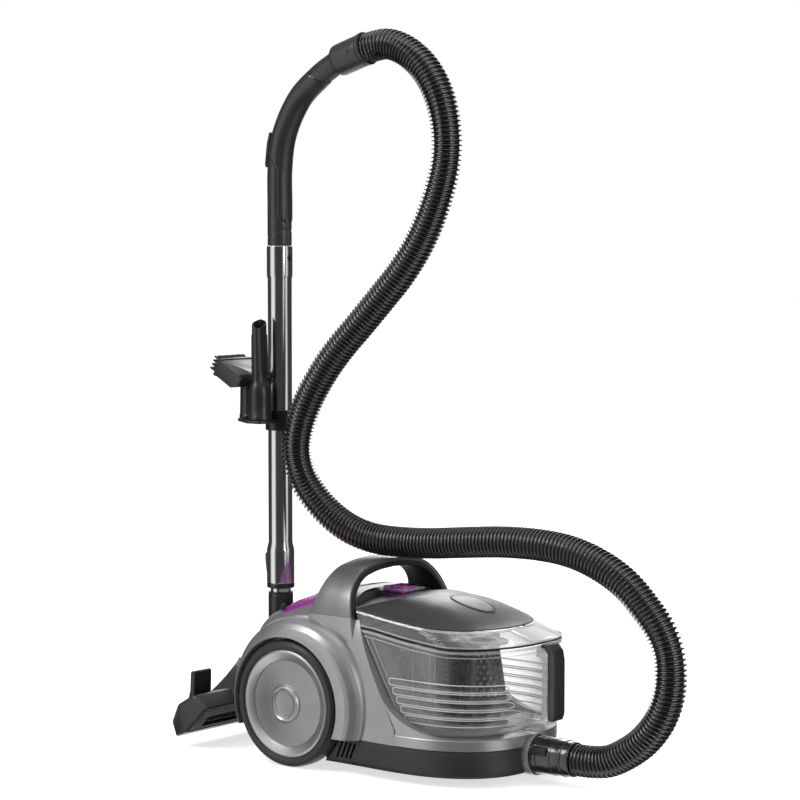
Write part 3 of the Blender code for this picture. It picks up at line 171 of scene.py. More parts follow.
def chrome(name, rgb, rough=0.10):
    """Plated tube with faint drawing lines along its length."""
    m, N, L, B = new_mat(name)
    v = coords(N, L, (1, 1, 0.012))
    lines = noise_tex(N, L, v, 900.0, 5, 0.6)
    L.new(ramp(N, L, lines, [(0.3, [c * 0.90 for c in rgb]), (0.7, rgb)]), B.inputs['Base Color'])
    L.new(to_range(N, L, lines, rough - 0.03, rough + 0.06, 0.3, 0.7), B.inputs['Roughness'])
    B.inputs['Metallic'].default_value = 1.0
    bump(N, L, lines, 0.12, 0.00004, B)
    return m

def fibres(name, rgb, scale=(1, 1, 1), tone=0.35):
    m, N, L, B = new_mat(name)
    v = coords(N, L, scale)
    f = noise_tex(N, L, v, 1100.0, 5, 0.7)
    L.new(ramp(N, L, f, [(0.3, [c * (1 - tone) for c in rgb]), (0.7, [min(1, c * (1 + tone)) for c in rgb])]), B.inputs['Base Color'])
    B.inputs['Roughness'].default_value = 0.92
    B.inputs['Sheen Weight'].default_value = 0.25
    bump(N, L, f, 0.8, 0.0004, B)
    return m

def lint_cloth(name):
    """Lint cloth: red nap over the middle of the strip, dark nap towards its ends."""
    m, N, L, B = new_mat(name)
    v = coords(N, L)
    sep = N.new('ShaderNodeSeparateXYZ')
    L.new(v, sep.inputs[0])
    ab = N.new('ShaderNodeMath')
    ab.operation = 'ABSOLUTE'
    L.new(sep.outputs['Y'], ab.inputs[0])
    L.new(ramp(N, L, to_range(N, L, ab.outputs[0], 0.0, 1.0, 0.0, 0.10), [(0.20, (0.50, 0.02, 0.02)), (0.23, (0.020, 0.019, 0.020))]), B.inputs['Base Color'])
    f = noise_tex(N, L, v, 1100.0, 5, 0.7)
    B.inputs['Roughness'].default_value = 0.92
    B.inputs['Sheen Weight'].default_value = 0.2
    bump(N, L, f, 0.8, 0.0004, B)
    return m

MAT = {
    'silver': silver_paint('paint_silver', (0.400, 0.400, 0.405)),
    'silver_side': silver_paint('paint_silver_handle', (0.240, 0.240, 0.244)),
    'hub': silver_paint('hub_disc', (0.330, 0.330, 0.335), 0.7, 0.36, 0.2),
    'hub_ring': silver_paint('hub_bright', (0.52, 0.52, 0.53), 0.75, 0.30, 0.3),
    'dark': plastic('dark_grey_plastic', (0.026, 0.028, 0.031), 0.46, grain=1500, grain_s=0.35),
    'grip': plastic('grip_plastic', (0.030, 0.031, 0.034), 0.33, grain=1900, grain_s=0.30, coat=0.10),
    'lid': silver_paint('paint_dark', (0.062, 0.062, 0.064), 0.45, 0.40, 0.15),
    'black': plastic('black_plastic', (0.016, 0.016, 0.018), 0.36, grain=1300, grain_s=0.15, coat=0.15),
    'gloss_black': plastic('gloss_black_plastic', (0.010, 0.010, 0.011), 0.20, grain=700, grain_s=0.05, coat=0.6),
    'hose': plastic('hose_plastic', (0.0065, 0.0065, 0.0072), 0.24, grain=400, grain_s=0.01, coat=1.0, wear=0.03, coat_rough=0.16, spec=0.9),
    'purple': plastic('purple_plastic', (0.36, 0.006, 0.34), 0.22, grain=500, grain_s=0.04, coat=0.9, vary=0.20, wear=0.06),
    'tyre': plastic('tyre_rubber', (0.025, 0.026, 0.027), 0.48, grain=2300, grain_s=0.40, sheen=0.12),
    'seal': plastic('seal_rubber', (0.012, 0.012, 0.013), 0.60, grain=1500, grain_s=0.3),
    'clear': clear_plastic('clear_shell', (0.74, 0.75, 0.76), 0.035, 0.62),
    'clear_thick': clear_plastic('clear_edge', (0.84, 0.85, 0.86), 0.20, 0.85),
    # near-white, nearly opaque clear plastic for the rib rims: a painted highlight line along each corrugation of the
    # bin
    'rib_painted_highlight': clear_plastic('clear_rib_painted_highlight', (0.96, 0.97, 0.98), 0.50, 0.92),
    'smoke': clear_plastic('clear_smoke', (0.14, 0.14, 0.145), 0.28, 0.85, 0.10),
    'chrome': chrome('plated_tube', (0.66, 0.655, 0.66), 0.16),
    'steel': chrome('turned_steel', (0.52, 0.52, 0.53), 0.30),
    'badge': silver_paint('badge_satin', (0.230, 0.230, 0.235), 0.4, 0.42, 0.1),
    'paper': fibres('filter_paper', (0.72, 0.72, 0.68), (1, 0.1, 1), 0.12),
    'foam': fibres('filter_foam', (0.05, 0.05, 0.052)),
    'copper': chrome('copper_winding', (0.60, 0.26, 0.11), 0.35),
    'board': plastic('circuit_board', (0.02, 0.13, 0.05), 0.40, grain=900),
    'bristle': fibres('bristle_fibre', (0.018, 0.018, 0.020), (1, 1, 0.1)),
    'red': fibres('lint_velvet', (0.50, 0.02, 0.02)),
    'mark': plastic('scale_mark', (0.50, 0.51, 0.52), 0.5),
    'lint': lint_cloth('lint_cloth'),
    'brown_grey': plastic('inner_grey_plastic', (0.034, 0.034, 0.036), 0.30, grain=300, grain_s=0.03, coat=0.2),
}

# ------------------------------------------------------------------ helpers
def raw(name, verts, faces):
    me = bpy.data.meshes.new(name)
    me.from_pydata([tuple(float(c) for c in v) for v in verts], [], [tuple(f) for f in faces])
    bm = bmesh.new()
    bm.from_mesh(me)
    bmesh.ops.recalc_face_normals(bm, faces=bm.faces)
    bm.to_mesh(me)
    bm.free()
    ob = bpy.data.objects.new(name, me)
    SC.collection.objects.link(ob)
    return ob

def loft(name, rings, around=True, cap=True):
    n, m = len(rings[0]), len(rings)
    verts = [p for r in rings for p in r]
    faces = []
    for i in range(m if not cap else m - 1):
        a, b = i * n, ((i + 1) % m) * n
        for j in range(n):
            k = (j + 1) % n
            if around or j < n - 1:
                faces.append((a + j, a + k, b + k, b + j))
    if cap:
        faces.append(tuple(range(n)))
        faces.append(tuple(range((m - 1) * n, m * n)))
    return raw(name, verts, faces)

def fillet(poly, r, n=4, closed=True):
    """Rounds the corners of a 2-D polygon (r is a number or one per corner)."""
    p = [np.array(q, float) for q in poly]
    m = len(p)
    out = []
    for i in range(m):
        ri = r[i] if hasattr(r, '__len__') else r
        if (not closed and i in (0, m - 1)) or ri <= 0:
            out.append(tuple(p[i]))
            continue
        a, b, c = p[i - 1], p[i], p[(i + 1) % m]
        u, v = a - b, c - b
        lu, lv = np.linalg.norm(u), np.linalg.norm(v)
        if lu < 1e-9 or lv < 1e-9:
            out.append(tuple(b))
            continue
        u, v = u / lu, v / lv
        cosang = float(np.clip(u @ v, -1, 1))
        if cosang < -0.985:
            out.append(tuple(b))
            continue
        half = math.acos(cosang) / 2
        d = min(ri / math.tan(half), 0.47 * lu, 0.47 * lv)
        for k in range(n + 1):
            t = k / n
            q = (1 - t) ** 2 * (b + u * d) + 2 * t * (1 - t) * b + t ** 2 * (b + v * d)
            out.append(tuple(q))
    return out

def basis(axis):
    a = np.array(axis, float)
    a /= np.linalg.norm(a)
    h = np.array((0, 0, 1.0)) if abs(a[2]) < 0.9 else np.array((1.0, 0, 0))
    u = np.cross(h, a)
    u /= np.linalg.norm(u)
    return a, u, np.cross(a, u)

def lathe(name, profile, centre, axis, seg=64, closed=False, r=0.0006, n=3):
    """Turned form with softened corners. profile: (radius, distance along the axis)."""
    if r:
        rad = r
        if not closed:
            rad = [r if q[0] > 1e-6 else 0 for q in profile]
        profile = fillet(profile, rad, n, closed)
    a, u, v = basis(axis)
    c = np.array(centre, float)
    verts, rows = [], []
    for rr, d in profile:
        if rr < 1e-7:
            rows.append([len(verts)])
            verts.append(c + a * d)
        else:
            rows.append(list(range(len(verts), len(verts) + seg)))
            for k in range(seg):
                t = 2 * math.pi * k / seg
                verts.append(c + a * d + (u * math.cos(t) + v * math.sin(t)) * rr)
    faces = []
    pairs = list(zip(rows[:-1], rows[1:]))
    if closed:
        pairs.append((rows[-1], rows[0]))
    for p, q in pairs:
        for k in range(seg):
            l = (k + 1) % seg
            if len(p) == 1 and len(q) == 1:
                continue
            if len(p) == 1:
                faces.append((p[0], q[l], q[k]))
            elif len(q) == 1:
                faces.append((p[k], p[l], q[0]))
            else:
                faces.append((p[k], p[l], q[l], q[k]))
    return raw(name, verts, faces)

def cyl(name, p0, p1, r, seg=48, soft=0.0):
    p0, p1 = np.array(p0, float), np.array(p1, float)
    d = np.linalg.norm(p1 - p0)
    return lathe(name, [(0, 0), (r, 0), (r, d), (0, d)], p0, p1 - p0, seg, r=soft)

def pipe(name, p0, p1, r, ri, seg=64, soft=0.0004):
    p0, p1 = np.array(p0, float), np.array(p1, float)
    d = np.linalg.norm(p1 - p0)
    return lathe(name, [(ri, 0), (r, 0), (r, d), (ri, d)], p0, p1 - p0, seg, True, soft)

def box(name, lo, hi, bevel=0.0, seg=3):
    x0, y0, z0 = lo
    x1, y1, z1 = hi
    v = [(x0, y0, z0), (x1, y0, z0), (x1, y1, z0), (x0, y1, z0), (x0, y0, z1), (x1, y0, z1), (x1, y1, z1), (x0, y1, z1)]
    f = [(0, 1, 2, 3), (4, 5, 6, 7), (0, 1, 5, 4), (1, 2, 6, 5), (2, 3, 7, 6), (3, 0, 4, 7)]
    ob = raw(name, v, f)
    if bevel:
        edge_round(ob, bevel, seg)
    return ob

def edge_round(ob, width, seg=3, angle=30):
    """Rounds the sharp edges of a mesh in place."""
    m = ob.modifiers.new('round', 'BEVEL')
    m.width, m.segments, m.limit_method, m.angle_limit = width, seg, 'ANGLE', math.radians(angle)
    m.harden_normals = False
    return bake(ob)

def bake(ob):
    bpy.context.view_layer.update()
    dg = bpy.context.evaluated_depsgraph_get()
    me = bpy.data.meshes.new_from_object(ob.evaluated_get(dg))
    ob.modifiers.clear()
    ob.data = me
    return ob

def prism(name, poly, plane, d0, d1, corner=0.0, bevel=0.0, n=4, seg=3):
    if corner:
        poly = fillet(poly, corner, n)
    def put(p, d):
        return {'xz': (p[0], d, p[1]), 'xy': (p[0], p[1], d), 'yz': (d, p[0], p[1])}[plane]
    ob = loft(name, [[put(p, d0) for p in poly], [put(p, d1) for p in poly]])
    if bevel:
        edge_round(ob, bevel, seg, 40)
    return ob

def tube_path(name, pts, radii, inner=None, seg=32, up=(0, 1, 0), cap=True):
    pts = np.array(pts, float)
    n = len(pts)
    tan = np.gradient(pts, axis=0)
    upv = np.array(up, float)
    def rings(rad):
        out = []
        for i in range(n):
            t = tan[i] / np.linalg.norm(tan[i])
            w = np.cross(t, upv)
            w /= np.linalg.norm(w)
            s = np.cross(w, t)
            r = rad[i] if hasattr(rad, '__len__') else rad
            out.append([pts[i] + (s * math.cos(2 * math.pi * k / seg) + w * math.sin(2 * math.pi * k / seg)) * r for k in range(seg)])
        return out
    outer = rings(radii)
    if inner is None:
        return loft(name, outer, cap=cap)
    return loft(name, outer + rings(inner)[::-1], cap=False)

def boolean(ob, cutter, op='DIFFERENCE'):
    m = ob.modifiers.new('cut', 'BOOLEAN')
    m.operation, m.object, m.solver = op, cutter, 'EXACT'
    bake(ob)
    bpy.data.objects.remove(cutter, do_unlink=True)
    return ob

def cut(ob, *cutters):
    for c in cutters:
        boolean(ob, c, 'DIFFERENCE')
    return ob

def add(ob, *others):
    for c in others:
        boolean(ob, c, 'UNION')
    return ob

def copy_of(ob, name):
    o = bpy.data.objects.new(name, ob.data.copy())
    SC.collection.objects.link(o)
    return o

def merge(name, obs):
    """Several separate closed forms kept in one mesh."""
    verts, faces, mi = [], [], []
    for ob in obs:
        off = len(verts)
        verts += [tuple(v.co) for v in ob.data.vertices]
        faces += [tuple(off + i for i in p.vertices) for p in ob.data.polygons]
        bpy.data.objects.remove(ob, do_unlink=True)
    me = bpy.data.meshes.new(name)
    me.from_pydata(verts, [], faces)
    o = bpy.data.objects.new(name, me)
    SC.collection.objects.link(o)
    return o

def smooth_line(pts, per=6):
    p = np.array(pts, float)
    p = np.vstack([2 * p[0] - p[1], p, 2 * p[-1] - p[-2]])
    out = []
    for i in range(1, len(p) - 2):
        for k in range(per):
            t = k / per
            out.append(0.5 * ((2 * p[i]) + (-p[i - 1] + p[i + 1]) * t
                              + (2 * p[i - 1] - 5 * p[i] + 4 * p[i + 1] - p[i + 2]) * t * t
                              + (-p[i - 1] + 3 * p[i] - 3 * p[i + 1] + p[i + 2]) * t ** 3))
    out.append(p[-2])
    return np.array(out)

def at(xs, ys, soft=0.0):
    """Piecewise curve through the points, optionally softened over a distance."""
    if not soft:
        return lambda x: float(np.interp(x, xs, ys))
    g = np.linspace(xs[0] - 4 * soft, xs[-1] + 4 * soft, 600)
    v = np.interp(g, xs, ys)
    lo, hi = (ys[1] - ys[0]) / (xs[1] - xs[0]), (ys[-1] - ys[-2]) / (xs[-1] - xs[-2])
    v = np.where(g < xs[0], ys[0] + lo * (g - xs[0]), np.where(g > xs[-1], ys[-1] + hi * (g - xs[-1]), v))
    step = g[1] - g[0]
    k = np.exp(-0.5 * (np.arange(-int(3 * soft / step) - 1, int(3 * soft / step) + 2) * step / soft) ** 2)
    k /= k.sum()
    pad = len(k) // 2
    w = np.convolve(np.pad(v, pad, mode='edge'), k, mode='valid')
    return lambda x: float(np.interp(x, g, w))

def done(ob, name, body, mat, nodes=(), smooth=32, weld=2e-6, extra=()):
    """Names, paints, shades and mounts a finished piece on its body."""
    ob.name = name
    ob.data.name = name
    ob.data.materials.clear()
    ob.data.materials.append(MAT[mat])
    for e in extra:
        ob.data.materials.append(MAT[e])
    bm = bmesh.new()
    bm.from_mesh(ob.data)
    if weld:
        bmesh.ops.remove_doubles(bm, verts=bm.verts, dist=weld)
        bmesh.ops.dissolve_degenerate(bm, edges=bm.edges, dist=weld)
    bmesh.ops.translate(bm, verts=bm.verts, vec=(-CX, 0, 0))
    bm.to_mesh(ob.data)
    bm.free()
    ob.data.shade_smooth()
    ob.data.set_sharp_from_angle(angle=math.radians(smooth))
    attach(ob, body)
    if nodes:
        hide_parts(*nodes)
    return ob

# ------------------------------------------------------- design dimensions
GAP = 0.0004
WHEEL_R, WELL_R, WELL_Y, HUB_R = 0.0880, 0.0925, 0.1065, 0.0742
BASE_Z0, BASE_Z1, BODY_Z0, TRAY_Z1 = 0.0125, 0.0497, 0.0503, 0.0655
NOSE_X, SIDE_W, BODY_N = 0.3200, 0.1275, 4.2
WAND_X, TUBE_R, TUBE_RI, INNER_R, INNER_RI = -0.1300, 0.0175, 0.0165, 0.0148, 0.0138
RING_Z0, RING_Z1, GRIP_Z0, SOCKET_TOP, INLET_Z = 0.2222, 0.2290, 0.7133, 0.2163, 0.0380
NECK_X, NECK_Z = -0.168, 0.107
SPLIT_Z = 0.2130

# -------------------------------------------------------------------- hose
HOSE_ROUTE = [(0.3884, 0.0, 0.0380), (0.4120, 0.0, 0.0385), (0.4400, 0.0, 0.0430), (0.4680, 0.0, 0.0570), (0.4950, 0.0, 0.0770),
              (0.5170, 0.0, 0.1040), (0.5300, 0.0, 0.1340), (0.5345, 0.0, 0.1650), (0.5310, 0.0, 0.1960), (0.5180, 0.0, 0.2240),
              (0.4960, 0.0, 0.2500), (0.4640, 0.0, 0.2790), (0.4250, 0.0, 0.3000), (0.3800, 0.0, 0.3140), (0.3300, 0.0, 0.3195),
              (0.2700, 0.0, 0.3190), (0.2100, 0.0, 0.3140), (0.1500, 0.0, 0.3080), (0.1000, 0.0, 0.3053), (0.0500, -0.002, 0.3065),
              (0.0120, -0.008, 0.3160), (-0.0200, -0.014, 0.3340), (-0.0480, -0.020, 0.3600), (-0.0680, -0.024, 0.3900), (-0.0760, -0.026, 0.4250),
              (-0.0710, -0.025, 0.4620), (-0.0560, -0.022, 0.5000), (-0.0330, -0.018, 0.5380), (-0.0060, -0.014, 0.5720), (0.0250, -0.009, 0.6050),
              (0.0600, -0.005, 0.6420), (0.0950, -0.002, 0.6800), (0.1270, 0.0, 0.7250), (0.1520, 0.0, 0.7750), (0.1680, 0.0, 0.8250),
              (0.1700, 0.0, 0.8700), (0.1590, 0.0, 0.9150), (0.1360, 0.0, 0.9530), (0.1030, 0.0, 0.9800), (0.0680, 0.0, 0.9922)]
CUFF_A = np.array((-0.0195, 0, 0.9722))
CUFF_D = np.array((math.cos(math.radians(17)), 0, math.sin(math.radians(17))))
CUFF_L = 0.0540
HOSE_ROUTE.append(tuple(CUFF_A + CUFF_D * (CUFF_L + 0.0004)))

def make_hose():
    curve = smooth_line(HOSE_ROUTE, 12)
    run = np.concatenate([[0], np.cumsum(np.linalg.norm(np.diff(curve, axis=0), axis=1))])
    length = float(run[-1])
    pitch = 0.0060
    ribs = int(round(length / pitch))
    # one rib: root, flank, crest, flank
    shape = [(0.00, 0.0174), (0.20, 0.0175), (0.32, 0.0198), (0.40, 0.0212), (0.50, 0.0215), (0.60, 0.0212), (0.68, 0.0198), (0.80, 0.0175)]
    s, rad = [], []
    for i in range(ribs):
        for f, r in shape:
            s.append((i + f) * length / ribs)
            rad.append(r)
    s.append(length)
    rad.append(0.0183)
    s = np.array(s)
    c = np.stack([np.interp(s, run, curve[:, k]) for k in range(3)], 1)
    t = np.gradient(c, axis=0)
    k = np.ones(9) / 9
    t = np.stack([np.convolve(np.pad(t[:, i], 4, mode='edge'), k, mode='valid') for i in range(3)], 1)
    t /= np.linalg.norm(t, axis=1)[:, None]
    t[0], t[-1] = (1, 0, 0), -CUFF_D
    seg = 40
    up = np.array((0, 1.0, 0))
    verts, faces = [], []
    for i in range(len(s)):
        w = np.cross(t[i], up)
        w /= np.linalg.norm(w)
        u = np.cross(w, t[i])
        for j in range(seg):
            a = 2 * math.pi * j / seg
            verts.append(c[i] + (u * math.cos(a) + w * math.sin(a)) * rad[i])
    for i in range(len(s) - 1):
        for j in range(seg):
            l = (j + 1) % seg
            faces.append((i * seg + j, i * seg + l, (i + 1) * seg + l, (i + 1) * seg + j))
    faces.append(tuple(range(seg)))
    faces.append(tuple(range((len(s) - 1) * seg, len(s) * seg)))
    ob = raw('ribbed_hose', verts, faces)
    ob.data.materials.append(MAT['hose'])
    ob.data.transform(MOVE)
    ob.data.shade_smooth()
    path = [[float(p[0] - CX), float(p[1]), float(p[2])] for p in c]
    return ob, path, length

MOVE = Matrix.Translation((-CX, 0, 0))
hose, hose_path, HOSE_LEN = make_hose()
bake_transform(hose)
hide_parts('suction_hose')
print('hose length', round(HOSE_LEN, 4))
#PIECES#
# ------------------------------------------------------------ body surfaces
BODY_X = [-0.106, -0.102, -0.094, -0.080, -0.050, 0.000, 0.030, 0.060, 0.100, 0.180]
BODY_W = [0.080, 0.094, 0.104, 0.110, 0.1145, 0.1180, 0.1195, 0.1210, 0.1240, 0.1270]
BODY_T = [0.168, 0.186, 0.196, 0.204, 0.2155, 0.2320, 0.2390, 0.2405, 0.2380, 0.2250]
body_w, body_top = at(BODY_X, BODY_W, 0.0022), at(BODY_X, BODY_T, 0.004)

def deck(x, y):
    h = body_top(x) - BODY_Z0
    r = min(0.999, abs(y) / body_w(x))
    return BODY_Z0 + h * (1 - r ** BODY_N) ** (1 / BODY_N)

def section(x, w, top, z0, n, bottom=None):
    pts = []
    for k in range(n + 1):
        t = math.pi * k / n
        c, s = math.cos(t), math.sin(t)
        pts.append((x, -w * math.copysign(abs(c) ** (2 / BODY_N), c), z0 + (top - z0) * abs(s) ** (2 / BODY_N)))
    if bottom is not None:
        pts = [(x, -w, bottom)] + pts + [(x, w, bottom)]
    return pts

def bulk(z):
    return 0.178 - 0.5556 * (z - 0.075)

def front_outline(w, xr, xs, xf, n=10, p=2.4, corner=0.006):
    pts = [(xr + corner, -w), (xs, -w)]
    for k in range(1, n):
        t = -math.pi / 2 + math.pi * k / n
        pts.append((xs + (xf - xs) * abs(math.cos(t)) ** (2 / p), w * math.copysign(abs(math.sin(t)) ** (2 / p), math.sin(t))))
    pts += [(xs, w), (xr + corner, w), (xr, w - corner), (xr, -w + corner)]
    return pts

FN = 44
def flush(x, y, w):
    """Draws the long sides in to the body's width, easing back to the full width towards the nose."""
    if x <= 0.160:
        return math.copysign(min(abs(y), w - SIDE_W + body_w(max(x, 0.092)) + 0.0006), y) if abs(y) > 0.115 else y
    g = (body_w(0.160) + 0.0006) / SIDE_W
    e = min(1.0, (x - 0.160) / 0.075)
    return y * (g + (1 - g) * e * e * (3 - 2 * e))
def base_outline(off=0.0, x_back=-0.096):
    w = SIDE_W + off
    pts = front_outline(w, 0.045, 0.160, NOSE_X + off, FN, 2.6, 0.0)[:-4]
    side = [0.045 + (0.160 - 0.045) * k / 12 for k in range(13)]
    pts = [(x, flush(x, -w, w)) for x in side] + [(x, flush(x, y, w)) for x, y in pts[2:]]
    pts += [(x, flush(x, w, w)) for x in side[::-1]]
    wi = 0.104 + off
    back = [(0.045, wi), (-0.075, wi), (-0.090, 0.092 + off), (x_back - off, 0.070),
            (x_back - off, -0.070), (-0.090, -0.092 - off), (-0.075, -wi), (0.045, -wi)]
    return pts + back

def well(side, r=WELL_R, y0=WELL_Y, y1=0.17, seg=96):
    return cyl('well', (0, side * y0, WHEEL_R), (0, side * y1, WHEEL_R), r, seg)

# ------------------------------------------------------------- base chassis
def make_base():
    rings = []
    for z, off in ((BASE_Z0, -0.0085), (0.0129, -0.0058), (0.0140, -0.0035), (0.0160, -0.0018), (0.0190, -0.0006), (0.023, 0.0), (0.036, 0.0),
                   (BASE_Z1 - 0.0010, 0.0), (BASE_Z1 - 0.0003, -0.0003), (BASE_Z1, -0.0010)):
        rings.append([(x, y, z) for x, y in base_outline(off)])
    base = loft('base', rings)
    tray = [(0.105, -0.1235)] + front_outline(0.1235, 0.105, 0.160, NOSE_X - 0.004, 24, 2.6, 0.0)[1:-4]
    tray += [(0.160, 0.1235), (0.105, 0.1235), (0.100, 0.1010), (-0.074, 0.1010), (-0.088, 0.089), (-0.093, 0.068),
             (-0.093, -0.068), (-0.088, -0.089), (-0.074, -0.1010), (0.100, -0.1010)]
    cut(base, prism('c', tray, 'xy', 0.0155, 0.08))
    add(base, cyl('boss', (0.222, 0, 0.0140), (0.222, 0, 0.0490), 0.0315, 48))
    cut(base, cyl('c', (0.222, 0, 0.0), (0.222, 0, 0.0445), 0.0285, 48), cyl('c', (0.222, 0, 0.02), (0.222, 0, 0.08), 0.0056, 24),
        well(1), well(-1), cyl('c', (0.2615, 0, INLET_Z), (0.36, 0, INLET_Z), 0.0290, 64),
        cyl('c', (0.3034, 0, INLET_Z), (0.36, 0, INLET_Z), 0.0298, 64))
    for side in (-1, 1):
        for k in range(4):
            x = 0.0765 + 0.0078 * k
            cut(base, prism('c', [(x, 0.022), (x + 0.0040, 0.022), (x + 0.0140, 0.045), (x + 0.0100, 0.045)], 'xz', side * 0.112, side * 0.14, 0.0012, n=3))
    done(base, 'lower_tray', 'canister', 'dark', ['base_chassis'])
make_base()

# ------------------------------------------------------------- main housing
LID_W, LID_XF, LID_P = 0.1040, 0.2920, 2.1
def lid_outline(off, n=44, back=24):
    w = LID_W + off
    xs, xf = 0.185, LID_XF + off
    pts = [(0.0945 - off + (xs - 0.0945 + off) * k / 14, -w) for k in range(15)]
    for k in range(1, n):
        t = -math.pi / 2 + math.pi * k / n
        pts.append((xs + (xf - xs) * abs(math.cos(t)) ** (2 / LID_P), w * math.copysign(abs(math.sin(t)) ** (2 / LID_P), math.sin(t))))
    pts += [(xs + (0.0945 - off - xs) * k / 14, w) for k in range(15)]
    for k in range(1, back):
        y = w * (1 - 2 * k / back)
        pts.append((0.058 - off + 0.0365 * (y / w) ** 2, y))
    return pts

HANDLE_PATH = [(0.1165, 0.160), (0.1165, 0.190), (0.1135, 0.2130), (0.1085, 0.2300), (0.1000, 0.2470),
               (0.0860, 0.2620), (0.0660, 0.2735), (0.0350, 0.2800), (0.0, 0.2822)]
zx = [0.16, 0.213, 0.240, 0.262, 0.275, 0.2825]
ab, af = at(zx, [0.010, 0.020, 0.028, 0.032, 0.034, 0.035], 0.004), at(zx, [0.104, 0.094, 0.086, 0.081, 0.079, 0.078], 0.004)
arch_x = lambda z: (ab(z), af(z))
def arch_sheet(name, t0, t1, x_of, per=8, soft=0.0012, z_from=None, crown=0.0):
    """Strip that follows the handle's arch, with a rounded rectangular section."""
    half = smooth_line(HANDLE_PATH, per)
    path = np.vstack([half * [-1, 1], half[::-1][1:]])
    tan = np.gradient(path, axis=0)
    if z_from is not None:
        keep = path[:, 1] >= z_from
        i0 = int(np.argmax(keep))
        f = (z_from - path[i0 - 1, 1]) / (path[i0, 1] - path[i0 - 1, 1])
        p0 = path[i0 - 1] + (path[i0] - path[i0 - 1]) * f
        t_0 = tan[i0 - 1] + (tan[i0] - tan[i0 - 1]) * f
        path = np.vstack([[p0], path[keep], [p0 * [-1, 1]]])
        tan = np.vstack([[t_0], tan[keep], [t_0 * [1, -1]]])
    rings = []
    for (y, z), (ty, tz) in zip(path, tan):
        l = math.hypot(ty, tz)
        ny, nz = -tz / l, ty / l
        x0, x1 = x_of(z)
        sec = fillet([(x0, t0), (x0 + (x1 - x0) * 0.35, t0 - crown), (x0 + (x1 - x0) * 0.65, t0 - crown), (x1, t0), (x1, t1), (x0, t1)],
                     [soft, 0.01, 0.01, soft, soft, soft], 4)
        rings.append([(x, y - ny * t, z - nz * t) for x, t in sec])
    return loft(name, rings)

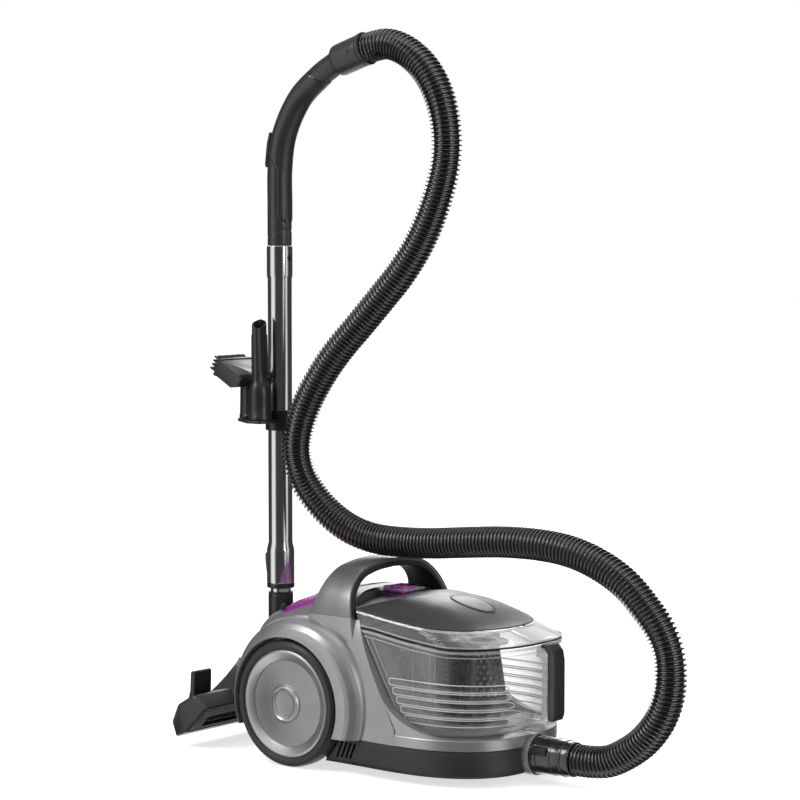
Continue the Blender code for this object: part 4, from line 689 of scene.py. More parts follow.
def make_housing():
    xs = list(np.concatenate([np.linspace(-0.106, -0.090, 9), np.linspace(-0.086, 0.180, 34)]))
    body = loft('body', [section(x, body_w(x), body_top(x), BODY_Z0, 56) for x in xs])
    cut(body, prism('c', [(bulk(TRAY_Z1), TRAY_Z1), (bulk(0.32), 0.32), (0.6, 0.32), (0.6, TRAY_Z1)], 'xz', -0.2, 0.2))
    rings = []
    for z, off in ((BODY_Z0, 0.0002), (BODY_Z0 + 0.0006, 0.0010), (TRAY_Z1 - 0.0016, 0.0010), (TRAY_Z1 - 0.0006, 0.0004), (TRAY_Z1, -0.0008)):
        sw = SIDE_W + off
        side_x = [0.090 + 0.070 * k / 8 for k in range(9)]
        tuck = lambda x: body_w(x) - 0.0004                     # stays just inside the body's own side
        o = [(x, -tuck(x)) for x in side_x]
        for x, y in front_outline(sw, 0.09, 0.160, NOSE_X + off, FN, 2.6, 0.0)[2:-4]:
            e = min(1.0, (x - 0.160) / 0.075)
            e = e * e * (3 - 2 * e)
            o.append((x, y * (tuck(0.160) / SIDE_W * (1 - e) + e)))
        o += [(x, tuck(x)) for x in side_x[::-1]]
        sill = o
        rings.append([(x, y, z) for x, y in o])
    add(body, loft('plate', rings))
    for side in (-1, 1):
        # web that rounds the corner between the bulkhead and the sill, outboard of the bin
        c = [(0.150, 0.0600), (0.2850, 0.0600), (0.2850, 0.0650)]
        for k in range(0, 15):
            t = k / 14
            a, b, d = np.array((0.2850, 0.0650)), np.array((bulk(0.0700) + 0.0005, 0.0672)), np.array((bulk(0.118) + 0.0003, 0.118))
            q = (1 - t) ** 2 * a + 2 * t * (1 - t) * b + t * t * d
            c.append((float(q[0]), float(q[1])))
        c.append((0.145, 0.118))
        web = prism('web', c, 'xz', min(side * 0.1118, side * 0.1290), max(side * 0.1118, side * 0.1290))
        keep = prism('k', sill, 'xy', 0.0500, 0.1300)
        boolean(web, keep, 'INTERSECT')
        add(body, web)
        fender = lathe('fender', [(0, 0.100), (0.1185, 0.100), (0.1183, 0.1130), (0.1180, 0.1210), (0.1155, 0.1290), (0.1100, 0.1360),
                                  (0.1030, 0.1408), (0.0950, 0.1432), (0, 0.1432)], (0.0115, 0, 0.0895), (0, side, 0), 120, r=0.010, n=5)
        cut(fender, box('c', (-0.3, -0.3, -0.3), (0.3, 0.3, BODY_Z0)))
        add(body, fender)
    pads = arch_sheet('pads', 0.0, 0.012, arch_x)
    cut(pads, box('c', (-1, -1, SPLIT_Z - 0.0003), (1, 1, 1)))
    for side in (-1, 1):
        pad = copy_of(pads, 'pad')
        cut(pad, box('c', (-1, -1 if side > 0 else 0, -1), (1, 0 if side > 0 else 1, 1)))
        add(body, pad)
    bpy.data.objects.remove(pads, do_unlink=True)
    cxs = [-0.1025, -0.098, -0.090, -0.078, -0.048, 0.000, 0.030, 0.060, 0.100, 0.178]
    cavity = loft('cavity', [section(x, min(body_w(x) - 0.0035, 0.1030), body_top(x) - 0.0035, BODY_Z0, 24, 0.03) for x in cxs])
    cut(cavity, prism('c', [(bulk(0.02) - 0.0035, 0.02), (bulk(0.32) - 0.0035, 0.32), (0.6, 0.32), (0.6, 0.02)], 'xz', -0.2, 0.2))
    cut(cavity, prism('c', lid_outline(0.0040), 'xy', 0.1990, 0.30))
    cut(body, cavity, prism('c', lid_outline(0.0008), 'xy', 0.2028, 0.30), well(1), well(-1))
    cut(body, cyl('c', (0.2615, 0, INLET_Z), (0.36, 0, INLET_Z), 0.0290, 64), cyl('c', (0.3034, 0, INLET_Z), (0.36, 0, INLET_Z), 0.0298, 64),
        cyl('c', (0.05, -0.045, 0.135), (0.20, -0.045, 0.135), 0.021, 40),
        box('c', (-0.13, -0.0450, 0.0700), (-0.096, 0.0450, 0.1300)), cyl('c', (-0.13, 0.066, 0.10), (-0.09, 0.066, 0.10), 0.0058, 24),
        box('c', (-0.13, -0.0125, 0.160), (-0.0870, 0.0125, 0.26)))
    for side in (-1, 1):
        cut(body, prism('c', pedal_outline(side, 0.0006), 'xy', 0.16, 0.30))
    done(body, 'silver_housing', 'canister', 'silver', ['main_housing'], smooth=28)

PEDAL_C, PEDAL_A, PEDAL_B = (-0.0170, 0.0520), 0.0400, 0.0325
def pedal_outline(side, off, n=9, r=0.014, straight=7):
    pts = []
    for qx, qy in ((1, -1), (1, 1), (-1, 1), (-1, -1)):
        a0 = {(1, -1): -math.pi / 2, (1, 1): 0, (-1, 1): math.pi / 2, (-1, -1): math.pi}[(qx, qy)]
        for k in range(n):
            t = math.pi / 2 * k / (n - 1)
            pts.append((PEDAL_C[0] + qx * (PEDAL_A - r) + (r + off) * math.cos(a0 + t),
                        side * PEDAL_C[1] + qy * (PEDAL_B - r) + (r + off) * math.sin(a0 + t)))
    out = []
    for i, p in enumerate(pts):
        out.append(p)
        q = pts[(i + 1) % len(pts)]
        if math.dist(p, q) > 0.012:
            out += [(p[0] + (q[0] - p[0]) * k / straight, p[1] + (q[1] - p[1]) * k / straight) for k in range(1, straight)]
    return out
make_housing()

def crown_cap(name, side):
    """Pedal cap: follows the deck, thin skirt, soft crown, grip ridges on its outer half."""
    edge = pedal_outline(side, 0.0)
    n = len(edge)
    cxp, cyp = PEDAL_C[0], side * PEDAL_C[1]
    levels = [(1.0, 0.0000), (0.996, 0.0009), (0.985, 0.0016), (0.965, 0.0021)] + [(s, 0.0021 + 0.0020 * (1 - s ** 2)) for s in np.linspace(0.93, 0.05, 22)]
    def top(X, Y, dz):
        z = deck(X, Y) + dz
        u, v = (X - cxp) / PEDAL_A, side * (Y - cyp) / PEDAL_B
        if 0.28 < v < 0.86 and abs(u) < 0.80:                     # shallow grip ridges near the outer edge
            z += 0.00055 * (0.5 - 0.5 * math.cos(2 * math.pi * (v - 0.28) / 0.145)) * min(1, (0.80 - abs(u)) / 0.1)
        return z
    verts, faces = [], []
    for s, dz in levels:
        for x, y in edge:
            X, Y = cxp + (x - cxp) * s, cyp + (y - cyp) * s
            verts.append((X, Y, top(X, Y, dz)))
    verts.append((cxp, cyp, top(cxp, cyp, 0.0041)))
    apex = len(verts) - 1
    for i in range(len(levels) - 1):
        for j in range(n):
            k = (j + 1) % n
            faces.append((i * n + j, i * n + k, (i + 1) * n + k, (i + 1) * n + j))
    b = (len(levels) - 1) * n
    for j in range(n):
        faces.append((b + j, b + (j + 1) % n, apex))
    off = len(verts)
    for s in (1.0, 0.6):
        for x, y in edge:
            X, Y = cxp + (x - cxp) * s, cyp + (y - cyp) * s
            verts.append((X, Y, deck(X, Y) - 0.0060))
    verts.append((cxp, cyp, deck(cxp, cyp) - 0.0060))
    bot = len(verts) - 1
    for j in range(n):
        k = (j + 1) % n
        faces += [(j, k, off + k, off + j), (off + j, off + k, off + n + k, off + n + j), (off + n + j, off + n + k, bot)]
    return raw(name, verts, faces)
for side, nm, bd in ((-1, 'power_pedal', 'power_key'), (1, 'rewind_pedal', 'rewind_key')):
    done(crown_cap('cap', side), nm + '_cap', bd, 'purple', [nm])
# plain raised symbol on each pedal: a broken ring with a bar, and a coil
def symbol(side, kind):
    obs = []
    cxp, cyp = PEDAL_C[0] + 0.002, side * (PEDAL_C[1] - 0.008)
    if kind == 'ring':
        ts = np.linspace(math.radians(60), math.radians(360), 30)
        line = [(cxp + 0.0095 * math.sin(t), cyp + 0.0095 * math.cos(t)) for t in ts + math.radians(-30)]
    else:
        ts = np.linspace(0, 4.2 * math.pi, 54)
        line = [(cxp + (0.0025 + 0.0007 * t) * math.cos(t), cyp + (0.0025 + 0.0007 * t) * math.sin(t)) for t in ts]
    def lift(x, y):
        s = max(abs(x - PEDAL_C[0]) / PEDAL_A, abs(y - side * PEDAL_C[1]) / PEDAL_B)
        return deck(x, y) + 0.0021 + 0.0020 * (1 - s * s)
    obs.append(tube_path('s', [(x, y, lift(x, y)) for x, y in line], 0.0006, None, 10, up=(0, 0, 1)))
    if kind == 'ring':
        obs.append(tube_path('s', [(cxp, cyp + side * d, lift(cxp, cyp + side * d)) for d in np.linspace(-0.002, 0.0115, 8)], 0.0006, None, 10, up=(0, 0, 1)))
    return merge('sym', obs)
done(symbol(-1, 'ring'), 'power_symbol', 'power_key', 'purple')
done(symbol(1, 'coil'), 'rewind_symbol', 'rewind_key', 'purple')

# ------------------------------------------------------------- carry handle
done(arch_sheet('h', 0.0, 0.0058, arch_x, 10, 0.0016, SPLIT_Z, 0.0), 'handle_arch', 'canister', 'silver_side', ['carry_handle'])
liner_x = lambda z: (arch_x(z)[0] + 0.0015, arch_x(z)[1] + 0.0015)
liner = arch_sheet('h', 0.0062, 0.0120, liner_x, 10, 0.0014, SPLIT_Z)
done(liner, 'handle_inner', 'canister', 'dark', ['handle_liner'])

# ------------------------------------------------------------- rear wheels
def wheel(side, tag, bd):
    tyre = [(HUB_R + GAP, 0.1150), (0.0800, 0.1125), (0.0860, 0.1145), (0.0880, 0.1185), (0.0880, 0.1335), (0.0862, 0.1388),
            (0.0822, 0.1422), (0.0782, 0.1425), (0.0760, 0.1416), (HUB_R + GAP, 0.1400)]
    done(lathe('t', tyre, (0, 0, WHEEL_R), (0, side, 0), 128, True, 0.0022, 5), tag + '_tread', bd, 'tyre', [tag + '_tyre'], smooth=40)
    disc = [(0, 0.1402), (0.0150, 0.1404), (0.0176, 0.1410), (0.0186, 0.1406), (0.0202, 0.1432), (0.0222, 0.1448), (0.0240, 0.1442), (0.0256, 0.1412),
            (0.0275, 0.1404), (0.0420, 0.1388), (0.0596, 0.1356), (0.0602, 0.1372), (0.0660, 0.1396), (0.0712, 0.1414), (0.0728, 0.1408),
            (HUB_R, 0.1402), (HUB_R, 0.1160), (0.0700, 0.1160),
            (0.0680, 0.1330), (0.0120, 0.1320), (0.0120, 0.1092), (0.0056, 0.1092), (0.0056, 0.1345), (0, 0.1345)]
    ob = lathe('h', disc, (0, 0, WHEEL_R), (0, side, 0), 128, r=0.0006, n=3)
    ob = done(ob, tag + '_disc', bd, 'hub', [tag + '_hub'], smooth=40, extra=['hub_ring'])
    for p in ob.data.polygons:                      # bright bands: outer bevel and the ring round the boss
        c = p.center
        rr = math.hypot(c.x + CX, c.z - WHEEL_R)
        if abs(c.y) > 0.1350 and (0.0600 < rr < 0.0745 or 0.0186 < rr < 0.0256):
            p.material_index = 1
wheel(-1, 'right_wheel', 'right_wheel')
wheel(1, 'left_wheel', 'left_wheel')

# -------------------------------------------------------------- air inlet
duct = lathe('d', [(0, -0.0415), (0.0280, -0.0415), (0.0280, 0), (0.0225, 0), (0.0225, -0.0390), (0, -0.0390)], (0.3036, 0, INLET_Z), AXIS_X, 64)
cut(duct, cyl('c', (0.277, 0, 0.045), (0.277, 0, 0.08), 0.0110, 32))
done(duct, 'inlet_pipe', 'canister', 'silver', ['inlet_duct'])
done(lathe('r', [(0.0268, 0.0), (0.0280, 0.0), (0.0288, 0.0015), (0.0288, 0.0225), (0.0280, 0.0245), (0.0268, 0.0245)],
           (0.3040, 0, INLET_Z), AXIS_X, 96, True, 0.0005), 'inlet_band', 'canister', 'silver', ['inlet_ring'])
conn = lathe('c', [(0.0185, 0.0), (0.0258, 0.0), (0.0262, 0.0010), (0.0262, 0.0255), (0.0258, 0.0262), (0.0258, 0.0272), (0.0262, 0.0280),
                   (0.0259, 0.0330), (0.0252, 0.0340), (0.0252, 0.0560), (0.0246, 0.0566), (0.0246, 0.0690), (0.0250, 0.0696), (0.0246, 0.0720),
                   (0.0240, 0.0728), (0.0240, 0.0765), (0.0230, 0.0830), (0.0222, 0.0835), (0.0185, 0.0835)],
             (0.3045, 0, INLET_Z), AXIS_X, 80, True, 0.0005)
for s in (-1, 1):
    cut(conn, box('c', (0.3335, min(s * 0.0205, s * 0.04), INLET_Z + 0.0040), (0.3565, max(s * 0.0205, s * 0.04), INLET_Z + 0.0150)))
done(conn, 'hose_end_fitting', 'connector', 'gloss_black', ['hose_connector'])
for s, nm, bd in ((-1, 'right_latch', 'right_clip'), (1, 'left_latch', 'left_clip')):
    lb = box('l', (0.3340, min(s * 0.0225, s * 0.0262), INLET_Z + 0.0045), (0.3560, max(s * 0.0225, s * 0.0262), INLET_Z + 0.0145), 0.0007, 3)
    ribs = [box('r', (0.3362 + 0.0029 * k, min(s * 0.0255, s * 0.0268), INLET_Z + 0.0057), (0.3375 + 0.0029 * k, max(s * 0.0255, s * 0.0268), INLET_Z + 0.0133), 0.0004, 2) for k in range(7)]
    add(lb, *ribs)
    done(lb, nm + '_key', bd, 'black', [nm])

# ---------------------------------------------------------------- dust bin
seal_z = at([0.10, 0.13, 0.18, 0.25, 0.29, 0.335], [0.2020, 0.2000, 0.1925, 0.1855, 0.1862, 0.1890], 0.006)
NS, NF = 20, 46
def bin_ring(w, xf, z, off=0.0, zf=None, ribs=None, p=2.4):
    """Outline of the bin at one level, with its rear corners on the bulkhead's slope."""
    w, xf = w - off, xf - off
    x = 0.12
    for _ in range(24):
        x = bulk(z if zf is None else zf(x)) + 0.0010 + off
    XS = lambda q: 0.215 - 0.030 * (2.4 - q) / 0.3
    side = [(x + (XS(p) - x) * k / NS, -w) for k in range(NS)]
    front = []
    for k in range(NF + 1):
        t = -math.pi / 2 + math.pi * k / NF
        front.append((XS(p) + (xf - XS(p)) * abs(math.cos(t)) ** (2 / p), w * math.copysign(abs(math.sin(t)) ** (2 / p), math.sin(t))))
    flat = side + front + [(p[0], -p[1]) for p in side[::-1]]
    out = []
    for i, (px, py) in enumerate(flat):
        zz = z if zf is None else zf(px)
        if ribs is not None and ribs > 0:
            a, b = flat[max(0, i - 1)], flat[min(len(flat) - 1, i + 1)]
            tx, ty = b[0] - a[0], b[1] - a[1]
            l = math.hypot(tx, ty) or 1
            win = min(1, max(0, (px - bulk(zz) - 0.011) / 0.010)) * min(1, max(0, (0.3175 - px) / 0.007))
            win = win * win * (3 - 2 * win)
            px, py = px + ty / l * ribs * win, py - tx / l * ribs * win
        out.append((px, py, zz))
    return out
SEAL_LO = lambda x: seal_z(x) - 0.0028
LV = at([0.0665, 0.0720, 0.1000, 0.1500, 0.1750], [0.104, 0.107, 0.109, 0.110, 0.110], 0.0025)
LF = at([0.0665, 0.0720, 0.1000, 0.1500, 0.1900], [0.300, 0.307, 0.318, 0.327, 0.3322], 0.0030)
def rib_at(z):
    z0, pitch, n = 0.0800, 0.0118, 5
    if z < z0 or z > z0 + pitch * n:
        return 0.0
    return 0.0023 * (0.5 - 0.5 * math.cos(2 * math.pi * (z - z0) / pitch)) ** 0.5
def make_bin():
    zs = list(np.linspace(0.0665, 0.0780, 8)) + list(np.linspace(0.0790, 0.1400, 62)) + list(np.linspace(0.1450, 0.1740, 8))
    outer, inner = [], []
    for z in zs:
        edge = max(0.0, 1 - (z - 0.0665) / 0.004)
        o = 0.0022 * edge ** 2
        outer.append(bin_ring(LV(z), LF(z), z, o, None, rib_at(z)))
    outer.append(bin_ring(0.110, 0.3330, None, 0, SEAL_LO))
    for z in zs:
        zi = max(z, 0.0690 + (z - 0.0665) * 0.5)
        inner.append(bin_ring(LV(zi), LF(zi), zi, 0.0022, None, rib_at(zi)))
    inner.append(bin_ring(0.110, 0.3330, None, 0.0022, SEAL_LO))
    rings = outer + inner[::-1]
    n, m = len(rings[0]), len(rings)
    verts = [p for r in rings for p in r]
    faces = []
    for i in range(m - 1):
        for j in range(n):
            k = (j + 1) % n
            faces.append((i * n + j, i * n + k, (i + 1) * n + k, (i + 1) * n + j))
    faces.append(tuple(range(n)))
    faces.append(tuple(range((m - 1) * n, m * n)))
    b = raw('bin', verts, faces)
    cut(b, cyl('c', (0.277, 0, 0.05), (0.277, 0, 0.075), 0.0110, 32), cyl('c', (0.09, -0.045, 0.135), (0.165, -0.045, 0.135), 0.019, 32))
    done(b, 'clear_bin_shell', 'bin', 'clear', ['dust_bin'], smooth=30)
    d = prism('d', [(0.3150, 0.0800), (0.3480, 0.0800), (0.3485, 0.1760), (0.3420, 0.1830), (0.3180, 0.1830), (0.3180, 0.1730),
                    (0.3370, 0.1710), (0.3400, 0.1650), (0.3400, 0.0900), (0.3360, 0.0870), (0.3150, 0.0870)], 'xz', -0.0115, 0.0115, 0.0030, 0.0006, 4)
    core = loft('c', [bin_ring(LV(z), LF(z), z, -0.0004) for z in (0.0665, 0.075, 0.085, 0.10, 0.12, 0.15, 0.175)] + [bin_ring(0.110, 0.3336, None, -0.0004, lambda x: seal_z(x) + 0.01)])
    cut(d, core)
    done(d, 'bin_front_frame', 'bin', 'clear_thick')
make_bin()
# raised rim around each corrugation of the side walls, in near-white, nearly opaque clear plastic that paints the
# bright highlight line along each rib
rims = []
for s in (-1, 1):
    for k in range(5):
        zc = 0.0859 + 0.0118 * k
        hh = 0.0046
        x0, x1 = bulk(zc) + 0.0160, 0.3120
        path = []
        for i in range(60):
            path.append((x0 + (x1 - x0) * i / 59, zc - hh))
        path += [(x1 + hh * math.sin(math.pi * i / 10) * 0.8, zc - hh * math.cos(math.pi * i / 10)) for i in range(1, 10)]
        path += [(x1 - (x1 - x0) * i / 59, zc + hh) for i in range(60)]
        path += [(x0 - hh * math.sin(math.pi * i / 10) * 0.8, zc + hh * math.cos(math.pi * i / 10)) for i in range(1, 10)]
        pts = []
        for px_, pz_ in path:
            ring = bin_ring(LV(pz_), LF(pz_), pz_, 0)
            half = ring[:NS + NF // 2 + 1]
            py_ = np.interp(px_, [q[0] for q in half], [q[1] for q in half])
            pts.append((px_, -s * (py_ - 0.0006), pz_))
        rims.append(tube_path('r', pts + [pts[0]], 0.00085, None, 10, up=(0, 1, 0)))
done(merge('r', rims), 'bin_rib_rims_painted_highlight', 'bin', 'rib_painted_highlight')
GRIP_BAR = [(0.3490, 0.0860), (0.3580, 0.0860), (0.3612, 0.0960), (0.3612, 0.1680), (0.3585, 0.1810), (0.3500, 0.1890),
            (0.3380, 0.1890), (0.3380, 0.1840), (0.3430, 0.1836), (0.3490, 0.1770)]
done(prism('g', GRIP_BAR, 'xz', -0.0120, 0.0120, 0.0045, 0.0016, 5), 'bin_grip', 'bin', 'lid', ['bin_grip_bar'])

def band(name, w, xf, z0f, z1f, thick, w1=None, xf1=None, mid=0.0, p0=2.4, p1=2.4):
    w1, xf1 = w1 or w, xf1 or xf
    r = [bin_ring(w, xf, None, 0, z0f, None, p0)]
    for k in range(1, 6):
        f = k / 6
        r.append(bin_ring(w + (w1 - w) * f + mid * math.sin(math.pi * f), xf + (xf1 - xf) * f + mid * math.sin(math.pi * f), None, 0,
                          lambda x, f=f: z0f(x) + (z1f(x) - z0f(x)) * f, None, p0 + (p1 - p0) * f))
    r.append(bin_ring(w1, xf1, None, 0, z1f, None, p1))
    r += [bin_ring(w1, xf1, None, thick, z1f, None, p1), bin_ring(w, xf, None, thick, z0f, None, p0)]
    return loft(name, r, cap=False)
done(band('s', 0.1106, 0.3336, lambda x: seal_z(x) - 0.0012, lambda x: seal_z(x) + 0.0010, 0.0038), 'bin_seal_band', 'bin', 'seal', ['bin_seal'])
EDGE_Z = at([0.05, 0.0945, 0.16, 0.22, 0.26, 0.32], [0.2260, 0.2235, 0.2145, 0.2085, 0.2065, 0.2065], 0.006)
done(band('k', 0.1100, 0.3330, lambda x: seal_z(x) + 0.0014, lambda x: EDGE_Z(x) - 0.0006, 0.0022, 0.1045, 0.2945, 0.0010, 2.4, 2.1), 'lid_clear_skirt', 'lid', 'clear', ['lid_skirt'])
done(band('k', 0.1114, 0.3344, lambda x: seal_z(x) + 0.0014, lambda x: seal_z(x) + 0.0032, 0.0016), 'skirt_lower_rim', 'lid', 'clear_thick')
done(band('k', 0.1064, 0.2990, lambda x: EDGE_Z(x) - 0.0034, lambda x: EDGE_Z(x) - 0.0010, 0.0020, 0.1052, 0.2965, 0.0, 2.13, 2.1), 'skirt_upper_rim', 'lid', 'clear_thick')
done(band('k', 0.1114, 0.3344, lambda x: seal_z(x) - 0.0062, lambda x: seal_z(x) - 0.0030, 0.0013), 'bin_top_rim', 'bin', 'clear_thick')
done(band('k', 0.1112, 0.3345, lambda x: seal_z(x) - 0.0118, lambda x: seal_z(x) - 0.0106, 0.0010), 'bin_step_line', 'bin', 'clear_thick')
# front tongue of the skirt over the grip
tongue = prism('t', [(0.3260, 0.1935), (0.3410, 0.1935), (0.3405, 0.1950), (0.3320, 0.1965), (0.3000, 0.2050), (0.2960, 0.2042), (0.3180, 0.1975)], 'xz', -0.0280, 0.0280, 0.0012, 0.0006, 3)
done(tongue, 'skirt_front_tongue', 'lid', 'clear_thick')
# upright rim strips where the bin meets the bulkhead
for s in (-1, 1):
    zs = np.linspace(0.0790, 0.1920, 26)
    line = [(bulk(z) + 0.0042, s * (LV(z) + 0.0002), z) for z in zs]
    done(tube_path('r', line, 0.0011, None, 12, up=(0, 1, 0)), 'bin_rear_bead_' + ('r' if s < 0 else 'l'), 'bin', 'clear_thick')
    line = [(bulk(z) + 0.0130, s * (LV(z) - 0.0004), z) for z in np.linspace(0.0860, 0.1860, 24)]
    done(tube_path('r', line, 0.0008, None, 12, up=(0, 1, 0)), 'bin_rear_line_' + ('r' if s < 0 else 'l'), 'bin', 'clear_thick')
# cyclone parts inside the bin
cy = prism('y', [(bulk(0.078) + 0.010, 0.078), (0.196, 0.078), (0.196, 0.178), (bulk(0.178) + 0.010, 0.178), (bulk(0.170) + 0.010, 0.170),
                 (0.188, 0.170), (0.188, 0.086), (bulk(0.086) + 0.010, 0.086)], 'xz', -0.040, 0.040, 0.0015, 0.0010, 3)
done(cy, 'cyclone_box', 'bin', 'brown_grey', ['cyclone_housing'])
# clear guide walls beside the cyclone
gw = []
for s in (-1, 1):
    gw.append(prism('w', [(bulk(0.088) + 0.016, 0.088), (0.2080, 0.088), (0.2080, 0.180), (bulk(0.180) + 0.016, 0.180)], 'xz',
                    min(s * 0.0720, s * 0.0735), max(s * 0.0720, s * 0.0735), 0.002, 0.0004, 3))
    gw.append(prism('w', [(0.2060, s * 0.0735), (0.2080, s * 0.0735), (0.2080, s * 0.0420), (0.2060, s * 0.0420)], 'xy', 0.088, 0.180, 0, 0.0003))
done(merge('w', gw), 'cyclone_guides', 'bin', 'smoke')
edges = []
for s in (-1, 1):
    for path in ([(bulk(0.180) + 0.017, s * 0.0738, 0.1800), (0.2080, s * 0.0738, 0.1800), (0.2080, s * 0.0738, 0.0880)],
                 [(0.1700, s * 0.0738, 0.1700), (0.1700, s * 0.0738, 0.0960)],
                 [(bulk(0.165) + 0.022, s * 0.0738, 0.1700), (0.2000, s * 0.0738, 0.1700), (0.2000, s * 0.0738, 0.0960)]):
        edges.append(tube_path('e', path, [0.00075] * len(path), None, 8, up=(0, 1, 0)))
done(merge('e', edges), 'guide_edges', 'bin', 'clear_thick')
cone = lathe('y', [(0.0326, 0.0950), (0.0340, 0.0950), (0.0215, 0.1780), (0.0201, 0.1780)], (0.2340, 0, 0), AXIS_Z, 80, True, 0.0004)
pins = []
for row in range(8):
    z = 0.112 + 0.0075 * row
    rr = 0.0340 - (z - 0.095) / 0.083 * 0.0125
    for k in range(18):
        t = 2 * math.pi * (k + 0.5 * (row % 2)) / 18
        if abs(math.cos(t)) < 0.1 and row % 2:
            continue
        c, s = math.cos(t), math.sin(t)
        pins.append(cyl('p', (0.234 + (rr - 0.006) * c, (rr - 0.006) * s, z), (0.234 + (rr + 0.004) * c, (rr + 0.004) * s, z), 0.0019, 10))
cut(cone, merge('p', pins))
done(cone, 'perforated_cone', 'bin', 'brown_grey', ['cyclone_cone'])
done(lathe('y', [(0.0300, 0.0965), (0.0316, 0.0965), (0.0192, 0.1770), (0.0180, 0.1770)], (0.2340, 0, 0), AXIS_Z, 64, True, 0.0003), 'cone_screen', 'bin', 'paper')
done(lathe('y', [(0.0192, 0.1782), (0.0330, 0.1782), (0.0345, 0.1800), (0.0345, 0.1822), (0.0192, 0.1822)], (0.2340, 0, 0), AXIS_Z, 64, True, 0.0004),
     'cone_collar', 'bin', 'brown_grey')
done(lathe('y', [(0.0100, 0.0700), (0.0345, 0.0700), (0.0330, 0.0735), (0.0250, 0.0800), (0.0240, 0.0946), (0.0225, 0.0946), (0.0230, 0.0790), (0.0100, 0.0722)],
           (0.2340, 0, 0), AXIS_Z, 64, True, 0.0006), 'dust_cup_foot', 'bin', 'brown_grey')

# ---------------------------------------------------------------- bin lid
crown = at([0.055, 0.10, 0.15, 0.20, 0.25, 0.30, 0.32], [0.2350, 0.2400, 0.2402, 0.2350, 0.2260, 0.2125, 0.2080], 0.010)
LCX = 0.185
def lid_surface(x, y, s):
    return EDGE_Z(x) + (max(crown(x), EDGE_Z(x) + 0.001) - EDGE_Z(x)) * (1 - s ** 2.6)
LOUT = np.array(lid_outline(0.0)) - [LCX, 0]
LANG = np.unwrap(np.arctan2(LOUT[:, 1], LOUT[:, 0]))
LRAD = np.hypot(LOUT[:, 0], LOUT[:, 1])
def lid_s(x, y):
    """How far out a point lies on the lid: 0 in the middle, 1 on the edge."""
    a = math.atan2(y, x - LCX)
    while a < LANG[0]:
        a += 2 * math.pi
    while a > LANG[0] + 2 * math.pi:
        a -= 2 * math.pi
    return math.hypot(x - LCX, y) / float(np.interp(a, np.append(LANG, LANG[0] + 2 * math.pi), np.append(LRAD, LRAD[0])))
def make_lid():
    out = lid_outline(0.0)
    n = len(out)
    verts, faces = [], []
    scales = [1.0, 0.998, 0.992, 0.982] + list(np.linspace(0.965, 0.04, 34))
    for i, s in enumerate(scales):
        drop = (0.0009, 0.0003, 0.0, 0.0)[i] if i < 4 else 0.0
        for x, y in out:
            X, Y = LCX + (x - LCX) * s, y * s
            verts.append((X, Y, lid_surface(X, Y, s) + (0.0004 if i == 0 else 0.0) * 0 + (0.0012 - drop if i < 4 else 0.0012)))
    verts.append((LCX, 0, lid_surface(LCX, 0, 0) + 0.0012))
    apex = len(verts) - 1
    start = len(verts)
    inner_sc = (1.0, 0.97, 0.90, 0.66, 0.36)
    for s in inner_sc:
        for x, y in out:
            X, Y = LCX + (x - LCX) * s, y * s
            verts.append((X, Y, EDGE_Z(X) if s >= 0.97 else lid_surface(X, Y, s) - 0.0020))
    verts.append((LCX, 0, lid_surface(LCX, 0, 0) - 0.0020))
    apex2 = len(verts) - 1
    for i in range(len(scales) - 1):
        for j in range(n):
            k = (j + 1) % n
            faces.append((i * n + j, i * n + k, (i + 1) * n + k, (i + 1) * n + j))
    b = (len(scales) - 1) * n
    faces += [(b + j, b + (j + 1) % n, apex) for j in range(n)]
    for i in range(len(inner_sc) - 1):
        for j in range(n):
            k = (j + 1) % n
            faces.append((start + i * n + j, start + i * n + k, start + (i + 1) * n + k, start + (i + 1) * n + j))
    b = start + (len(inner_sc) - 1) * n
    faces += [(b + j, b + (j + 1) % n, apex2) for j in range(n)]
    faces += [(j, (j + 1) % n, start + (j + 1) % n, start + j) for j in range(n)]
    lid = raw('lid', verts, faces)
    cut(lid, box('c', (0.0716, -0.0164, 0.22), (0.1104, 0.0164, 0.26)))
    done(lid, 'lid_cover', 'lid', 'lid', ['bin_lid'], smooth=25)
make_lid()
# clear bezel plate around the release key
bz = box('z', (0.0655, -0.0230, 0.2392), (0.1170, 0.0230, 0.2422), 0.0010, 3)
cut(bz, box('c', (0.0714, -0.0166, 0.22), (0.1106, 0.0166, 0.26)))
done(bz, 'key_bezel', 'lid', 'clear')
key = prism('b', [(0.0720, 0.2345), (0.0720, 0.2425), (0.0740, 0.2452), (0.0830, 0.2458), (0.0870, 0.2440), (0.1100, 0.2436), (0.1100, 0.2345)], 'xz', -0.0160, 0.0160, 0.0022, 0.0012, 4)
ribs = [box('r', (0.0905 + 0.0042 * k, -0.0120, 0.2425), (0.0922 + 0.0042 * k, 0.0120, 0.2445), 0.0005, 2) for k in range(4)]
add(key, *ribs)
done(key, 'lid_release_key', 'lid_key', 'purple', ['bin_button'])
